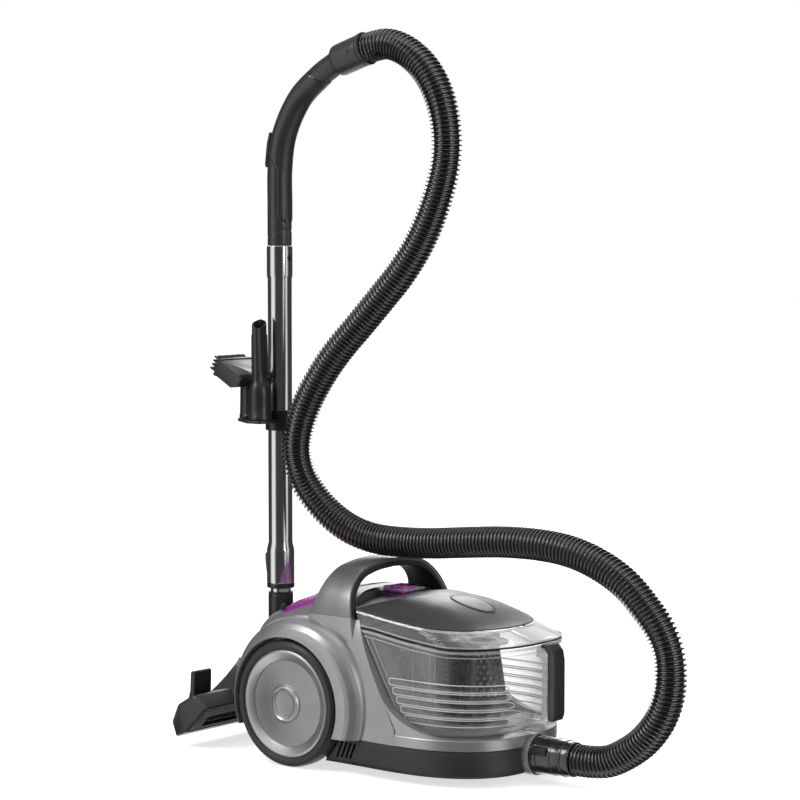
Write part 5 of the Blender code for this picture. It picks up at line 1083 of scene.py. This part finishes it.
# blank oval badge with a fine border
def badge(name, cx0, a, b, levels, n=72):
    verts, faces = [], []
    def zs(x, y):
        return lid_surface(x, y, lid_s(x, y)) + 0.0012
    for s, dz in levels:
        for k in range(n):
            t = 2 * math.pi * k / n
            x, y = cx0 + a * s * math.cos(t), b * s * math.sin(t)
            verts.append((x, y, zs(x, y) + dz))
    verts += [(cx0, 0, zs(cx0, 0) + levels[-1][1]), (cx0, 0, zs(cx0, 0) + levels[0][1])]
    m = len(levels)
    for i in range(m - 1):
        for j in range(n):
            k = (j + 1) % n
            faces.append((i * n + j, i * n + k, (i + 1) * n + k, (i + 1) * n + j))
    for j in range(n):
        faces.append(((m - 1) * n + j, (m - 1) * n + (j + 1) % n, m * n))
        faces.append((j, (j + 1) % n, m * n + 1))
    return raw(name, verts, faces)
done(badge('badge', 0.216, 0.0325, 0.0215, ((1.0, -0.0004), (1.0, 0.0004), (0.985, 0.0008), (0.95, 0.0010), (0.8, 0.0009), (0.5, 0.0008))), 'lid_oval', 'lid', 'badge', ['lid_badge'])
rim = []
for t in np.linspace(0, 2 * math.pi, 97)[:-1]:
    x, y = 0.216 + 0.0342 * math.cos(t), 0.0232 * math.sin(t)
    rim.append((x, y, lid_surface(x, y, lid_s(x, y)) + 0.0014))
ringed = loft('r', [[(p[0] + dx * (p[0] - 0.216) / 0.034, p[1] + dx * p[1] / 0.0232, p[2] + dz) for p in rim] for dx, dz in
                    ((0, 0.0005), (0.0005, 0.0003), (0.0007, -0.0003), (0, -0.0006), (-0.0007, -0.0003), (-0.0005, 0.0003))], cap=False)
done(ringed, 'oval_border', 'lid', 'dark')

# ------------------------------------------------------------------- wand
W = (WAND_X, 0, 0)
done(pipe('t', (WAND_X, 0, 0.1710), (WAND_X, 0, 0.6000), INNER_R, INNER_RI, 96), 'inner_wand_tube', 'canister', 'chrome', ['wand_inner_tube'])
ot = lathe('t', [(TUBE_RI, RING_Z1 + GAP), (0.0199, RING_Z1 + GAP), (0.0201, 0.2310), (0.0201, 0.2770), (0.0196, 0.2795), (0.0178, 0.2868), (0.0175, 0.2890),
                 (0.0175, 0.6660), (0.0178, 0.6678), (0.0186, 0.6708), (0.0187, 0.6730), (0.0187, 0.7128), (0.0184, GRIP_Z0), (TUBE_RI, GRIP_Z0)], W, AXIS_Z, 112, True, 0.0010, 4)
cut(ot, cyl('c', (WAND_X + 0.010, 0, 0.6964), (WAND_X + 0.03, 0, 0.6964), 0.0046, 32), box('c', (WAND_X - 0.03, -0.0050, 0.2400), (WAND_X - 0.010, 0.0050, 0.2720)))
done(ot, 'outer_wand_tube', 'wand_upper', 'chrome', ['wand_outer_tube'])
done(lathe('r', [(INNER_R + 0.0005, RING_Z0), (0.0190, RING_Z0), (0.0200, RING_Z0 + 0.0010), (0.0200, RING_Z1 - 0.0008), (0.0196, RING_Z1), (INNER_R + 0.0005, RING_Z1)], W, AXIS_Z, 80, True, 0.0004),
     'tube_end_ring', 'wand_upper', 'black', ['wand_end_ring'])
tb = prism('b', [(WAND_X - 0.0170, 0.2410), (WAND_X - 0.0235, 0.2410), (WAND_X - 0.0260, 0.2600), (WAND_X - 0.0262, 0.2690), (WAND_X - 0.0240, 0.2715),
                 (WAND_X - 0.0170, 0.2715)], 'xz', -0.0045, 0.0045, 0.0012, 0.0006)
for k in range(5):
    z = 0.2460 + 0.0035 * k
    x = WAND_X - 0.0235 - 0.0025 * (z - 0.2410) / 0.019
    add(tb, box('r', (x - 0.0006, -0.0036, z), (x + 0.0015, 0.0036, z + 0.0013), 0.0003, 2))
done(tb, 'telescope_key_cap', 'telescope_key', 'black', ['telescope_button'])
done(lathe('k', [(0, 0.0166), (0.0042, 0.0166), (0.0042, 0.0184), (0.0034, 0.0191), (0, 0.0193)], (WAND_X, 0, 0.6964), AXIS_X, 32, r=0.0003), 'grip_lock_pin', 'grip_key', 'black', ['grip_lock_button'])

# curved grip with a raised soft panel on its inner side and a diagonal seam
GRIP = smooth_line([(-0.1300, 0, 0.7138), (-0.1300, 0, 0.7700), (-0.1296, 0, 0.8250), (-0.1205, 0, 0.8735), (-0.0930, 0, 0.9205),
                    (-0.0560, 0, 0.9510), (-0.0225, 0, 0.9705)], 26)
def make_grip():
    n, seg = len(GRIP), 120
    run = np.concatenate([[0], np.cumsum(np.linalg.norm(np.diff(GRIP, axis=0), axis=1))])
    run /= run[-1]
    base_r = np.interp(run, [0, 0.12, 0.5, 0.85, 1], [0.0178, 0.0178, 0.0176, 0.0172, 0.0168])
    tan = np.gradient(GRIP, axis=0)
    limit = at([0, 0.100, 0.135, 0.36, 0.42, 0.86, 0.915, 1.0], [0, 0, 62, 60, 112, 116, 0, 0], 0.006)
    verts, faces = [], []
    for i in range(n):
        t = tan[i] / np.linalg.norm(tan[i])
        inn = np.array((t[2], 0, -t[0]))                 # towards the inside of the bend
        sd = np.array((0, 1.0, 0))
        for j in range(seg):
            psi = 2 * math.pi * j / seg
            deg = abs((math.degrees(psi) + 180) % 360 - 180)
            d = (limit(run[i]) - deg) / 4.0
            lift = 0.00120 / (1 + math.exp(-max(-30, min(30, d * 2.2))))
            groove = -0.0013 * math.exp(-((limit(run[i]) - deg + 2.5) / 2.6) ** 2) if limit(run[i]) > 8 else 0.0
            sm = 0.055 + 0.022 * math.cos(psi)           # diagonal joint line near the tube end
            groove -= 0.0010 * math.exp(-((run[i] - sm) / 0.0040) ** 2)
            end = 0.0006 * (math.exp(-((run[i]) / 0.004) ** 2))
            r = base_r[i] + lift - 0.0004 + groove - end
            verts.append(GRIP[i] + (inn * math.cos(psi) + sd * math.sin(psi)) * r)
    for i in range(n):
        t = tan[i] / np.linalg.norm(tan[i])
        inn, sd = np.array((t[2], 0, -t[0])), np.array((0, 1.0, 0))
        for j in range(seg):
            psi = 2 * math.pi * j / seg
            verts.append(GRIP[i] + (inn * math.cos(psi) + sd * math.sin(psi)) * (base_r[i] - 0.0028))
    for i in range(n - 1):
        for j in range(seg):
            k = (j + 1) % seg
            faces.append((i * seg + j, i * seg + k, (i + 1) * seg + k, (i + 1) * seg + j))
            o = n * seg
            faces.append((o + i * seg + j, o + i * seg + k, o + (i + 1) * seg + k, o + (i + 1) * seg + j))
    for j in range(seg):
        k = (j + 1) % seg
        faces.append((j, k, n * seg + k, n * seg + j))
        faces.append(((n - 1) * seg + j, (n - 1) * seg + k, (2 * n - 1) * seg + k, (2 * n - 1) * seg + j))
    done(raw('g', verts, faces), 'curved_grip', 'wand_upper', 'grip', ['grip_handle'], smooth=50)
make_grip()
sl = prism('s', [(WAND_X - 0.0180, 0.8255), (WAND_X - 0.0215, 0.8255), (WAND_X - 0.0228, 0.8300), (WAND_X - 0.0190, 0.8600), (WAND_X - 0.0146, 0.8760),
                 (WAND_X - 0.0112, 0.8738), (WAND_X - 0.0152, 0.8550), (WAND_X - 0.0182, 0.8350)], 'xz', -0.0060, 0.0060, 0.0012, 0.0007)
for k in range(9):
    z = 0.8315 + 0.0042 * k
    x = float(np.interp(z, [0.8300, 0.8600, 0.8760], [WAND_X - 0.0228, WAND_X - 0.0190, WAND_X - 0.0146]))
    add(sl, box('r', (x - 0.0007, -0.0050, z), (x + 0.0018, 0.0050, z + 0.0016), 0.0004, 2))
done(sl, 'air_slider_cap', 'slider', 'black', ['airflow_slider'])
cuff = lathe('c', [(0.0186, 0.0), (0.0208, 0.0), (0.0219, 0.0014), (0.0226, 0.0045), (0.0228, 0.0400), (0.0228, 0.0466), (0.0222, 0.0470), (0.0222, 0.0480), (0.0228, 0.0484), (0.0236, 0.0496),
                   (0.0236, 0.0532), (0.0232, 0.0540), (0.0186, 0.0540)], CUFF_A, CUFF_D, 96, True, 0.0005)
mid = CUFF_A + CUFF_D * 0.036
cut(cuff, cyl('c', mid + np.array((0, -0.03, 0)), mid + np.array((0, -0.0213, 0)), 0.0016, 20), cyl('c', mid + np.array((0, 0.03, 0)), mid + np.array((0, 0.0213, 0)), 0.0016, 20))
done(cuff, 'hose_swivel_cuff', 'cuff', 'grip', ['hose_cuff'])

# ------------------------------------------------------------ tools on wand
CREV, DUST = (-0.1310, -0.0420), (-0.1660, -0.0240)
holder = pipe('h', (WAND_X, 0, 0.4500), (WAND_X, 0, 0.4790), 0.0212, TUBE_R + GAP, 72, 0.0008)
arm = prism('a', [(-0.1410, -0.0190), (-0.1160, -0.0190), (-0.1120, -0.0420), (-0.1180, -0.0590), (-0.1420, -0.0600), (-0.1830, -0.0330), (-0.1850, -0.0150),
                  (-0.1700, -0.0070), (-0.1550, -0.0100)], 'xy', 0.4620, 0.4665, 0.007, 0.0010, 5)
cut(arm, cyl('c', (WAND_X, 0, 0.4), (WAND_X, 0, 0.5), TUBE_R + GAP, 72))
add(holder, arm, cyl('p', (CREV[0], CREV[1], 0.464), (CREV[0], CREV[1], 0.4900), 0.0120, 48, 0.0008),
    cyl('p', (DUST[0], DUST[1], 0.464), (DUST[0], DUST[1], 0.4860), 0.0110, 48, 0.0008))
done(holder, 'tool_clip', 'wand_upper', 'black', ['tool_holder'])
def make_crevice():
    n = 64
    prof = [(0.4670, .0166, .0166), (0.4676, .0172, .0172), (0.4714, .0172, .0172), (0.4722, .0166, .0166), (0.4900, .0166, .0166), (0.5040, .0165, .0165),
            (0.5100, .0160, .0161), (0.5145, .0147, .0150), (0.5185, .0124, .0134), (0.5215, .0102, .0122), (0.5260, .0092, .0117), (0.5380, .0088, .0115), (0.5700, .0083, .0119), (0.6080, .0076, .0118), (0.6095, .0073, .0115)]
    def ring(z, rx, ry):
        cx = CREV[0] - 0.0015 * max(0, (z - 0.50)) / 0.1
        out = []
        for k in range(n):
            t = 2 * math.pi * k / n
            p = 2 / 2.6 if z > 0.53 else 1.0
            dz = -0.0120 * max(0, min(1, (z - 0.585) / 0.020)) * (0.5 + 0.5 * math.cos(t + 0.9)) if z > 0.585 else 0
            out.append((cx + rx * math.copysign(abs(math.cos(t)) ** p, math.cos(t)), CREV[1] + ry * math.copysign(abs(math.sin(t)) ** p, math.sin(t)), z + dz))
        return out
    outr = [ring(*q) for q in prof]
    innr = [ring(z, rx - 0.0020, ry - 0.0020) for z, rx, ry in prof]
    c = loft('c', outr + innr[::-1], cap=False)
    for ang in (-0.9, 0.7, 2.24, 3.9):                    # long ribs that run down the spout over the shoulders
        line = []
        for z in np.linspace(0.524, 0.588, 30):
            rx, ry = float(np.interp(z, [p[0] for p in prof], [p[1] for p in prof])), float(np.interp(z, [p[0] for p in prof], [p[2] for p in prof]))
            e = 2 / 2.6 if z > 0.53 else 1.0 + (2 / 2.6 - 1.0) * max(0, (z - 0.515) / 0.015)
            line.append((CREV[0] - 0.0015 * max(0, z - 0.50) / 0.1 + rx * math.copysign(abs(math.cos(ang)) ** e, math.cos(ang)),
                         CREV[1] + ry * math.copysign(abs(math.sin(ang)) ** e, math.sin(ang)), z))
        add(c, tube_path('r', line, [0.0010] * 40, None, 10))
    done(c, 'crevice_nozzle', 'crevice', 'black', ['crevice_tool'], smooth=40)
make_crevice()
dx0, dy0 = DUST
BR = (-0.1840, -0.0270, 0.5330)
def tilt(ob, ang=math.radians(30)):
    for v in ob.data.vertices:
        x, z = v.co.x, v.co.z
        v.co.x = x * math.cos(ang) + z * math.sin(ang) + BR[0]
        v.co.z = -x * math.sin(ang) + z * math.cos(ang) + BR[2]
        v.co.y += BR[1]
    return ob
stem = lathe('s', [(0.0124, 0.4670), (0.0152, 0.4670), (0.0158, 0.4678), (0.0158, 0.4712), (0.0150, 0.4725), (0.0147, 0.4900), (0.0142, 0.5200), (0.0120, 0.5320), (0.0100, 0.5320), (0.0100, 0.4900), (0.0124, 0.4880)],
             (dx0, dy0, 0), AXIS_Z, 64, True, 0.0005)
hd = tilt(prism('b', [(-0.0150, -0.0130), (0.0200, -0.0130), (0.0330, -0.0040), (0.0330, 0.0085), (0.0270, 0.0130), (-0.0150, 0.0130)], 'xz', -0.0330, 0.0330, 0.003, 0.0018, 4))
cut(hd, cyl('c', (CREV[0], CREV[1], 0.45), (CREV[0], CREV[1], 0.65), 0.0182, 48), cyl('c', (WAND_X, 0, 0.45), (WAND_X, 0, 0.65), 0.0212, 48))
add(hd, stem, tilt(prism('l', [(-0.0168, -0.0138), (-0.0120, -0.0138), (-0.0120, 0.0138), (-0.0168, 0.0138)], 'xz', -0.0336, 0.0336, 0.001, 0.0007, 3)))
done(hd, 'dusting_brush_body', 'duster', 'black', ['dusting_brush'])
tufts = []
for iy in range(13):
    for iz in range(4):
        y, z = -0.0288 + 0.0048 * iy, -0.0093 + 0.0062 * iz
        sway = 0.0006 * math.sin(iy * 2.3 + iz * 1.7)
        tufts.append(tilt(lathe('u', [(0, -0.0160), (0.0010, -0.0160), (0.0015, -0.0240), (0.0016, -0.0286), (0.0012, -0.0290), (0, -0.0290)], (0, y + sway, z), AXIS_X, 10, r=0)))
done(merge('u', tufts), 'brush_tufts', 'duster', 'bristle', ['brush_bristles'], weld=0)

# -------------------------------------------------- neck, elbow, floor head
ELBOW = smooth_line([(-0.1300, 0, 0.1850), (-0.1300, 0, 0.1600), (-0.1345, 0, 0.1380), (-0.1450, 0, 0.1252), (-0.1580, 0, 0.1155), (NECK_X, 0, NECK_Z)], 7)
sk = lathe('n', [(0, 0.1640), (0.0174, 0.1640), (0.0180, 0.1660), (0.0180, 0.2120), (0.0176, 0.2128), (0.0176, 0.2136), (0.0180, 0.2142), (0.0180, SOCKET_TOP), (0, SOCKET_TOP)], W, AXIS_Z, 80, r=0.0006)
add(sk, tube_path('e', ELBOW, 0.0176, None, 48), lathe('k', [(0, -0.0210), (0.0195, -0.0210), (0.0205, -0.0200), (0.0205, 0.0200), (0.0195, 0.0210), (0, 0.0210)], (NECK_X, 0, NECK_Z), AXIS_Y, 64, r=0.0005),
    box('hook', (-0.1200, -0.0058, 0.1765), (-0.0945, 0.0058, 0.1850), 0.0008, 2))
DOWN = ELBOW[-1] - ELBOW[-2]
cut(sk, tube_path('c', list(ELBOW) + [ELBOW[-1] + DOWN * 14.0], 0.0136, None, 40), cyl('c', (WAND_X, 0, 0.1660), (WAND_X, 0, 0.25), INNER_R + 0.0004, 64))
done(sk, 'swivel_neck', 'canister', 'black', ['neck_socket'])

HA, HB, HC, HD, HE, HF = (-0.2131, 0.0142), (-0.2211, 0.0349), (-0.2091, 0.0623), (-0.1779, 0.0803), (-0.1521, 0.0619), (-0.1919, 0.0227)
HEAD_Y = 0.1350
fe = np.array(HE) - np.array(HF)
fe /= np.linalg.norm(fe)
nrm = np.array((fe[1], -fe[0]))
def P2(base2, a, b):
    q = np.array(base2) + fe * a + nrm * b
    return (float(q[0]), float(q[1]))
def make_head():
    outline = fillet([HA, HB, HC, HD, HE, HF], [0.0015, 0.006, 0.009, 0.010, 0.002, 0.0015], 6)
    c0 = np.mean(np.array(outline), 0)
    rings = []
    for y, s in ((-HEAD_Y, 0.86), (-HEAD_Y + 0.0010, 0.93), (-HEAD_Y + 0.0030, 0.975), (-HEAD_Y + 0.0070, 1.0), (-0.06, 1.0), (0.06, 1.0), (HEAD_Y - 0.0070, 1.0),
                 (HEAD_Y - 0.0030, 0.975), (HEAD_Y - 0.0010, 0.93), (HEAD_Y, 0.86)):
        rings.append([(c0[0] + (x - c0[0]) * s, y, c0[1] + (z - c0[1]) * s) for x, z in outline])
    hull = loft('h', rings)
    fair = []
    keys = [((-0.2075, 0.0600), (-0.1640, 0.0640), 0.0800), ((-0.2045, 0.0700), (-0.1630, 0.0710), 0.0730), ((-0.2010, 0.0800), (-0.1620, 0.0780), 0.0600),
            ((-0.1975, 0.0920), (-0.1605, 0.0850), 0.0450), ((-0.1945, 0.1030), (-0.1590, 0.0920), 0.0340), ((-0.1915, 0.1120), (-0.1570, 0.0965), 0.0265), ((-0.1900, 0.1165), (-0.1560, 0.0985), 0.0245)]
    for (x0, z0), (x1, z1), hw in keys:
        flat = fillet([(0, -hw), (0, hw), (1, hw * 0.92), (1, -hw * 0.92)], [0.012, 0.012, 0.0, 0.0], 6)
        fair.append([(x0 + (x1 - x0) * min(1, a), b, z0 + (z1 - z0) * min(1, a)) for a, b in
                     [(p[0] if True else 0, p[1]) for p in flat]])
    # rounded shoulders: a fairing loft with filleted corners joined onto the hull
    add(hull, loft('f', fair))
    cav = [P2(HF, 0.0010, 0.02), P2(HF, 0.0010, -0.0050), (-0.2098, 0.0225), (-0.2172, 0.0352), (-0.2065, 0.0600), (-0.1782, 0.0763), (-0.1575, 0.0625), P2(HE, -0.0030, 0.02)]
    cut(hull, prism('c', cav, 'xz', -HEAD_Y + 0.003, HEAD_Y - 0.003))
    duct2 = tube_path('c', [(NECK_X, 0, NECK_Z), (-0.1790, 0, 0.0900), (-0.1850, 0, 0.0650)], [0.0130] * 3, None, 40)
    cut(hull, cyl('c', (NECK_X, -0.0216, NECK_Z), (NECK_X, 0.0216, NECK_Z), 0.0214, 64),
        prism('c', [(NECK_X, NECK_Z - 0.030), (NECK_X, NECK_Z), (NECK_X - 0.030, NECK_Z + 0.006), (NECK_X - 0.030, NECK_Z + 0.05), (NECK_X + 0.05, NECK_Z + 0.05), (NECK_X + 0.05, NECK_Z - 0.030)], 'xz', -0.0216, 0.0216), duct2)
    cut(hull, prism('c', [(-0.2110, 0.0900), (-0.2040, 0.0560), (-0.1890, 0.0600), (-0.1880, 0.0900)], 'xz', -0.1205, -0.0740))
    # shallow seams round the end caps
    for s in (-1, 1):
        cut(hull, prism('c', [(HB[0] - 0.004, HB[1] - 0.004), (HC[0] - 0.004, HC[1] + 0.003), (HD[0], HD[1] + 0.006), (HD[0], HD[1] + 0.0045), (HC[0] + 0.0006, HC[1] - 0.0009), (HB[0] + 0.0008, HB[1] - 0.001)],
                        'xz', min(s * 0.1222, s * 0.1230), max(s * 0.1222, s * 0.1230)))
    done(hull, 'floor_head_cover', 'floor_head', 'black', ['head_cover'], smooth=30)
make_head()
sole = prism('s', [P2(HF, 0.0016, -0.0006), P2(HF, 0.0016, -0.0042), P2(HE, -0.0036, -0.0042), P2(HE, -0.0036, -0.0006)], 'xz', -0.1315, 0.1315, 0, 0.0008)
cut(sole, prism('c', [P2(HF, 0.0080, 0.01), P2(HF, 0.0080, -0.02), P2(HF, 0.0190, -0.02), P2(HF, 0.0190, 0.01)], 'xz', -0.110, 0.110),
    prism('c', [P2(HF, 0.0270, 0.01), P2(HF, 0.0270, -0.02), P2(HF, 0.0322, -0.02), P2(HF, 0.0322, 0.01)], 'xz', -0.108, 0.108),
    prism('c', [P2(HF, 0.0380, 0.01), P2(HF, 0.0380, -0.0016), P2(HF, 0.0396, -0.0016), P2(HF, 0.0396, 0.01)], 'xz', -0.124, 0.124),
    prism('c', [P2(HF, 0.0440, 0.01), P2(HF, 0.0440, -0.0016), P2(HF, 0.0456, -0.0016), P2(HF, 0.0456, 0.01)], 'xz', -0.124, 0.124))
done(sole, 'floor_head_sole', 'floor_head', 'dark', ['head_sole'])
bt = []
for k in range(54):
    y = -0.1055 + 0.00398 * k
    a, b = P2(HF, 0.0296 + 0.0006 * math.sin(k * 1.9), -0.0120), P2(HF, 0.0296 + 0.0005 * math.sin(k * 2.7), -0.0008)
    bt.append(cyl('b', (a[0], y, a[1]), (b[0], y, b[1]), 0.0016, 8))
done(merge('b', bt), 'head_bristle_rows', 'bristle_bar', 'bristle', ['bristle_strip'], weld=0)
PEDV = [(-0.2035, 0.0690), (-0.1975, 0.0680), (-0.1915, 0.0740), (-0.1905, 0.1060), (-0.1925, 0.1085), (-0.1965, 0.1085), (-0.1985, 0.1060), (-0.2000, 0.0800)]
pd = prism('p', PEDV, 'xz', -0.1180, -0.0820, 0.0016, 0.0012)
for k in range(4):
    add(pd, box('r', (-0.2012 + 0.0002 * k, -0.1150, 0.0860 + 0.0045 * k), (-0.1985, -0.0850, 0.0876 + 0.0045 * k), 0.0004, 2))
done(pd, 'brush_height_pedal', 'head_key', 'black', ['brush_pedal'])

# -------------------------------------------- carried-over pieces, finished
for node, mat in {'exhaust_grille': 'dark', 'exhaust_filter': 'paper', 'parking_bracket': 'black', 'cord_outlet': 'black', 'right_wheel_axle': 'steel',
                  'left_wheel_axle': 'steel', 'motor_casing': 'black', 'motor_stator': 'steel', 'motor_rotor': 'copper', 'motor_filter': 'foam', 'reel_axle': 'steel',
                  'cord_reel': 'black', 'power_switch': 'black', 'control_board': 'board', 'caster_fork': 'dark', 'caster_pin': 'steel', 'caster_wheel': 'tyre',
                  'lint_strip': 'lint'}.items():
    o = NODES[node]
    o.data.materials.clear()
    o.data.materials.append(MAT[mat])
# small grey stop beside each pedal
for s in (-1, 1):
    z = deck(-0.0860, 0.084)
    done(lathe('p', [(0, -0.004), (0.0034, -0.004), (0.0034, 0.0070), (0.0026, 0.0080), (0, 0.0082)], (-0.0610, s * 0.0735, deck(-0.0610, 0.0735)), AXIS_Z, 32, r=0.0004), 'pedal_stop_' + ('r' if s < 0 else 'l'), 'canister', 'dark')

# ------------------------------------------------------------ stage, lights
def floor_piece():
    m, N, L, B = new_mat('floor_pale')
    v = coords(N, L)
    f = noise_tex(N, L, v, 3.0, 4)
    L.new(ramp(N, L, f, [(0.3, (0.86, 0.86, 0.86)), (0.7, (0.89, 0.89, 0.89))]), B.inputs['Base Color'])
    B.inputs['Roughness'].default_value = 0.75
    B.inputs['Specular IOR Level'].default_value = 0.1
    seen = N.new('ShaderNodeLightPath')
    L.new(to_range(N, L, seen.outputs['Is Camera Ray'], 0.0, 0.66), B.inputs['Emission Strength'])
    ob = raw('floor', [(-14, -14, 0), (14, -14, 0), (14, 14, 0), (-14, 14, 0)], [(0, 1, 2, 3)])
    ob.data.materials.append(m)
    ob.visible_glossy = False
    return ob
floor_piece()

def area(name, loc, target, size, size_y, power, tone=(1, 1, 1)):
    d = bpy.data.lights.new(name, 'AREA')
    d.shape, d.size, d.size_y, d.energy, d.color = 'RECTANGLE', size, size_y, power, tone
    o = bpy.data.objects.new(name, d)
    SC.collection.objects.link(o)
    o.location = loc
    o.rotation_euler = (Vector(target) - Vector(loc)).to_track_quat('-Z', 'Y').to_euler()
    return o
area('key', (-1.3, -2.2, 2.6), (0, 0, 0.35), 1.0, 1.4, 42)
area('fill', (3.0, -0.6, 1.5), (0.1, 0, 0.35), 0.5, 1.8, 14)
area('top', (0.2, 0.3, 3.2), (0.0, 0, 0.3), 1.8, 1.8, 16)
area('back', (-1.6, 2.4, 1.8), (0.0, 0, 0.4), 0.7, 1.8, 14)

w = bpy.data.worlds.new('studio')
SC.world = w
w.use_nodes = True
WN, WL = w.node_tree.nodes, w.node_tree.links
bg = WN['Background']
tc = WN.new('ShaderNodeTexCoord')
sep = WN.new('ShaderNodeSeparateXYZ')
WL.new(tc.outputs['Generated'], sep.inputs['Vector'])
at2 = WN.new('ShaderNodeMath'); at2.operation = 'ARCTAN2'
WL.new(sep.outputs['Y'], at2.inputs[0]); WL.new(sep.outputs['X'], at2.inputs[1])
mul = WN.new('ShaderNodeMath'); mul.operation = 'MULTIPLY'; mul.inputs[1].default_value = 3.0
WL.new(at2.outputs[0], mul.inputs[0])
sn = WN.new('ShaderNodeMath'); sn.operation = 'SINE'
turn = WN.new('ShaderNodeMath'); turn.operation = 'ADD'; turn.inputs[1].default_value = 1.45
WL.new(mul.outputs[0], turn.inputs[0])
WL.new(turn.outputs[0], sn.inputs[0])
band = WN.new('ShaderNodeMapRange')
band.inputs['From Min'].default_value, band.inputs['From Max'].default_value = 0.25, 0.75
band.inputs['To Min'].default_value, band.inputs['To Max'].default_value = 0.06, 1.20
WL.new(sn.outputs[0], band.inputs['Value'])
# overhead part stays even and bright
up_m = WN.new('ShaderNodeMapRange')
up_m.inputs['From Min'].default_value, up_m.inputs['From Max'].default_value = 0.35, 0.75
WL.new(sep.outputs['Z'], up_m.inputs['Value'])
mixw = WN.new('ShaderNodeMix'); mixw.data_type = 'FLOAT'
WL.new(up_m.outputs['Result'], mixw.inputs['Factor'])
WL.new(band.outputs['Result'], mixw.inputs[2])
mixw.inputs[3].default_value = 0.46
lp = WN.new('ShaderNodeLightPath')
mixc = WN.new('ShaderNodeMix'); mixc.data_type = 'FLOAT'
WL.new(lp.outputs['Is Camera Ray'], mixc.inputs['Factor'])
WL.new(mixw.outputs[0], mixc.inputs[2])
mixc.inputs[3].default_value = 1.0
WL.new(mixc.outputs[0], bg.inputs['Strength'])
bg.inputs['Color'].default_value = (1, 1, 1, 1)
SC.view_settings.view_transform = 'Standard'
SC.cycles.transparent_max_bounces = 24
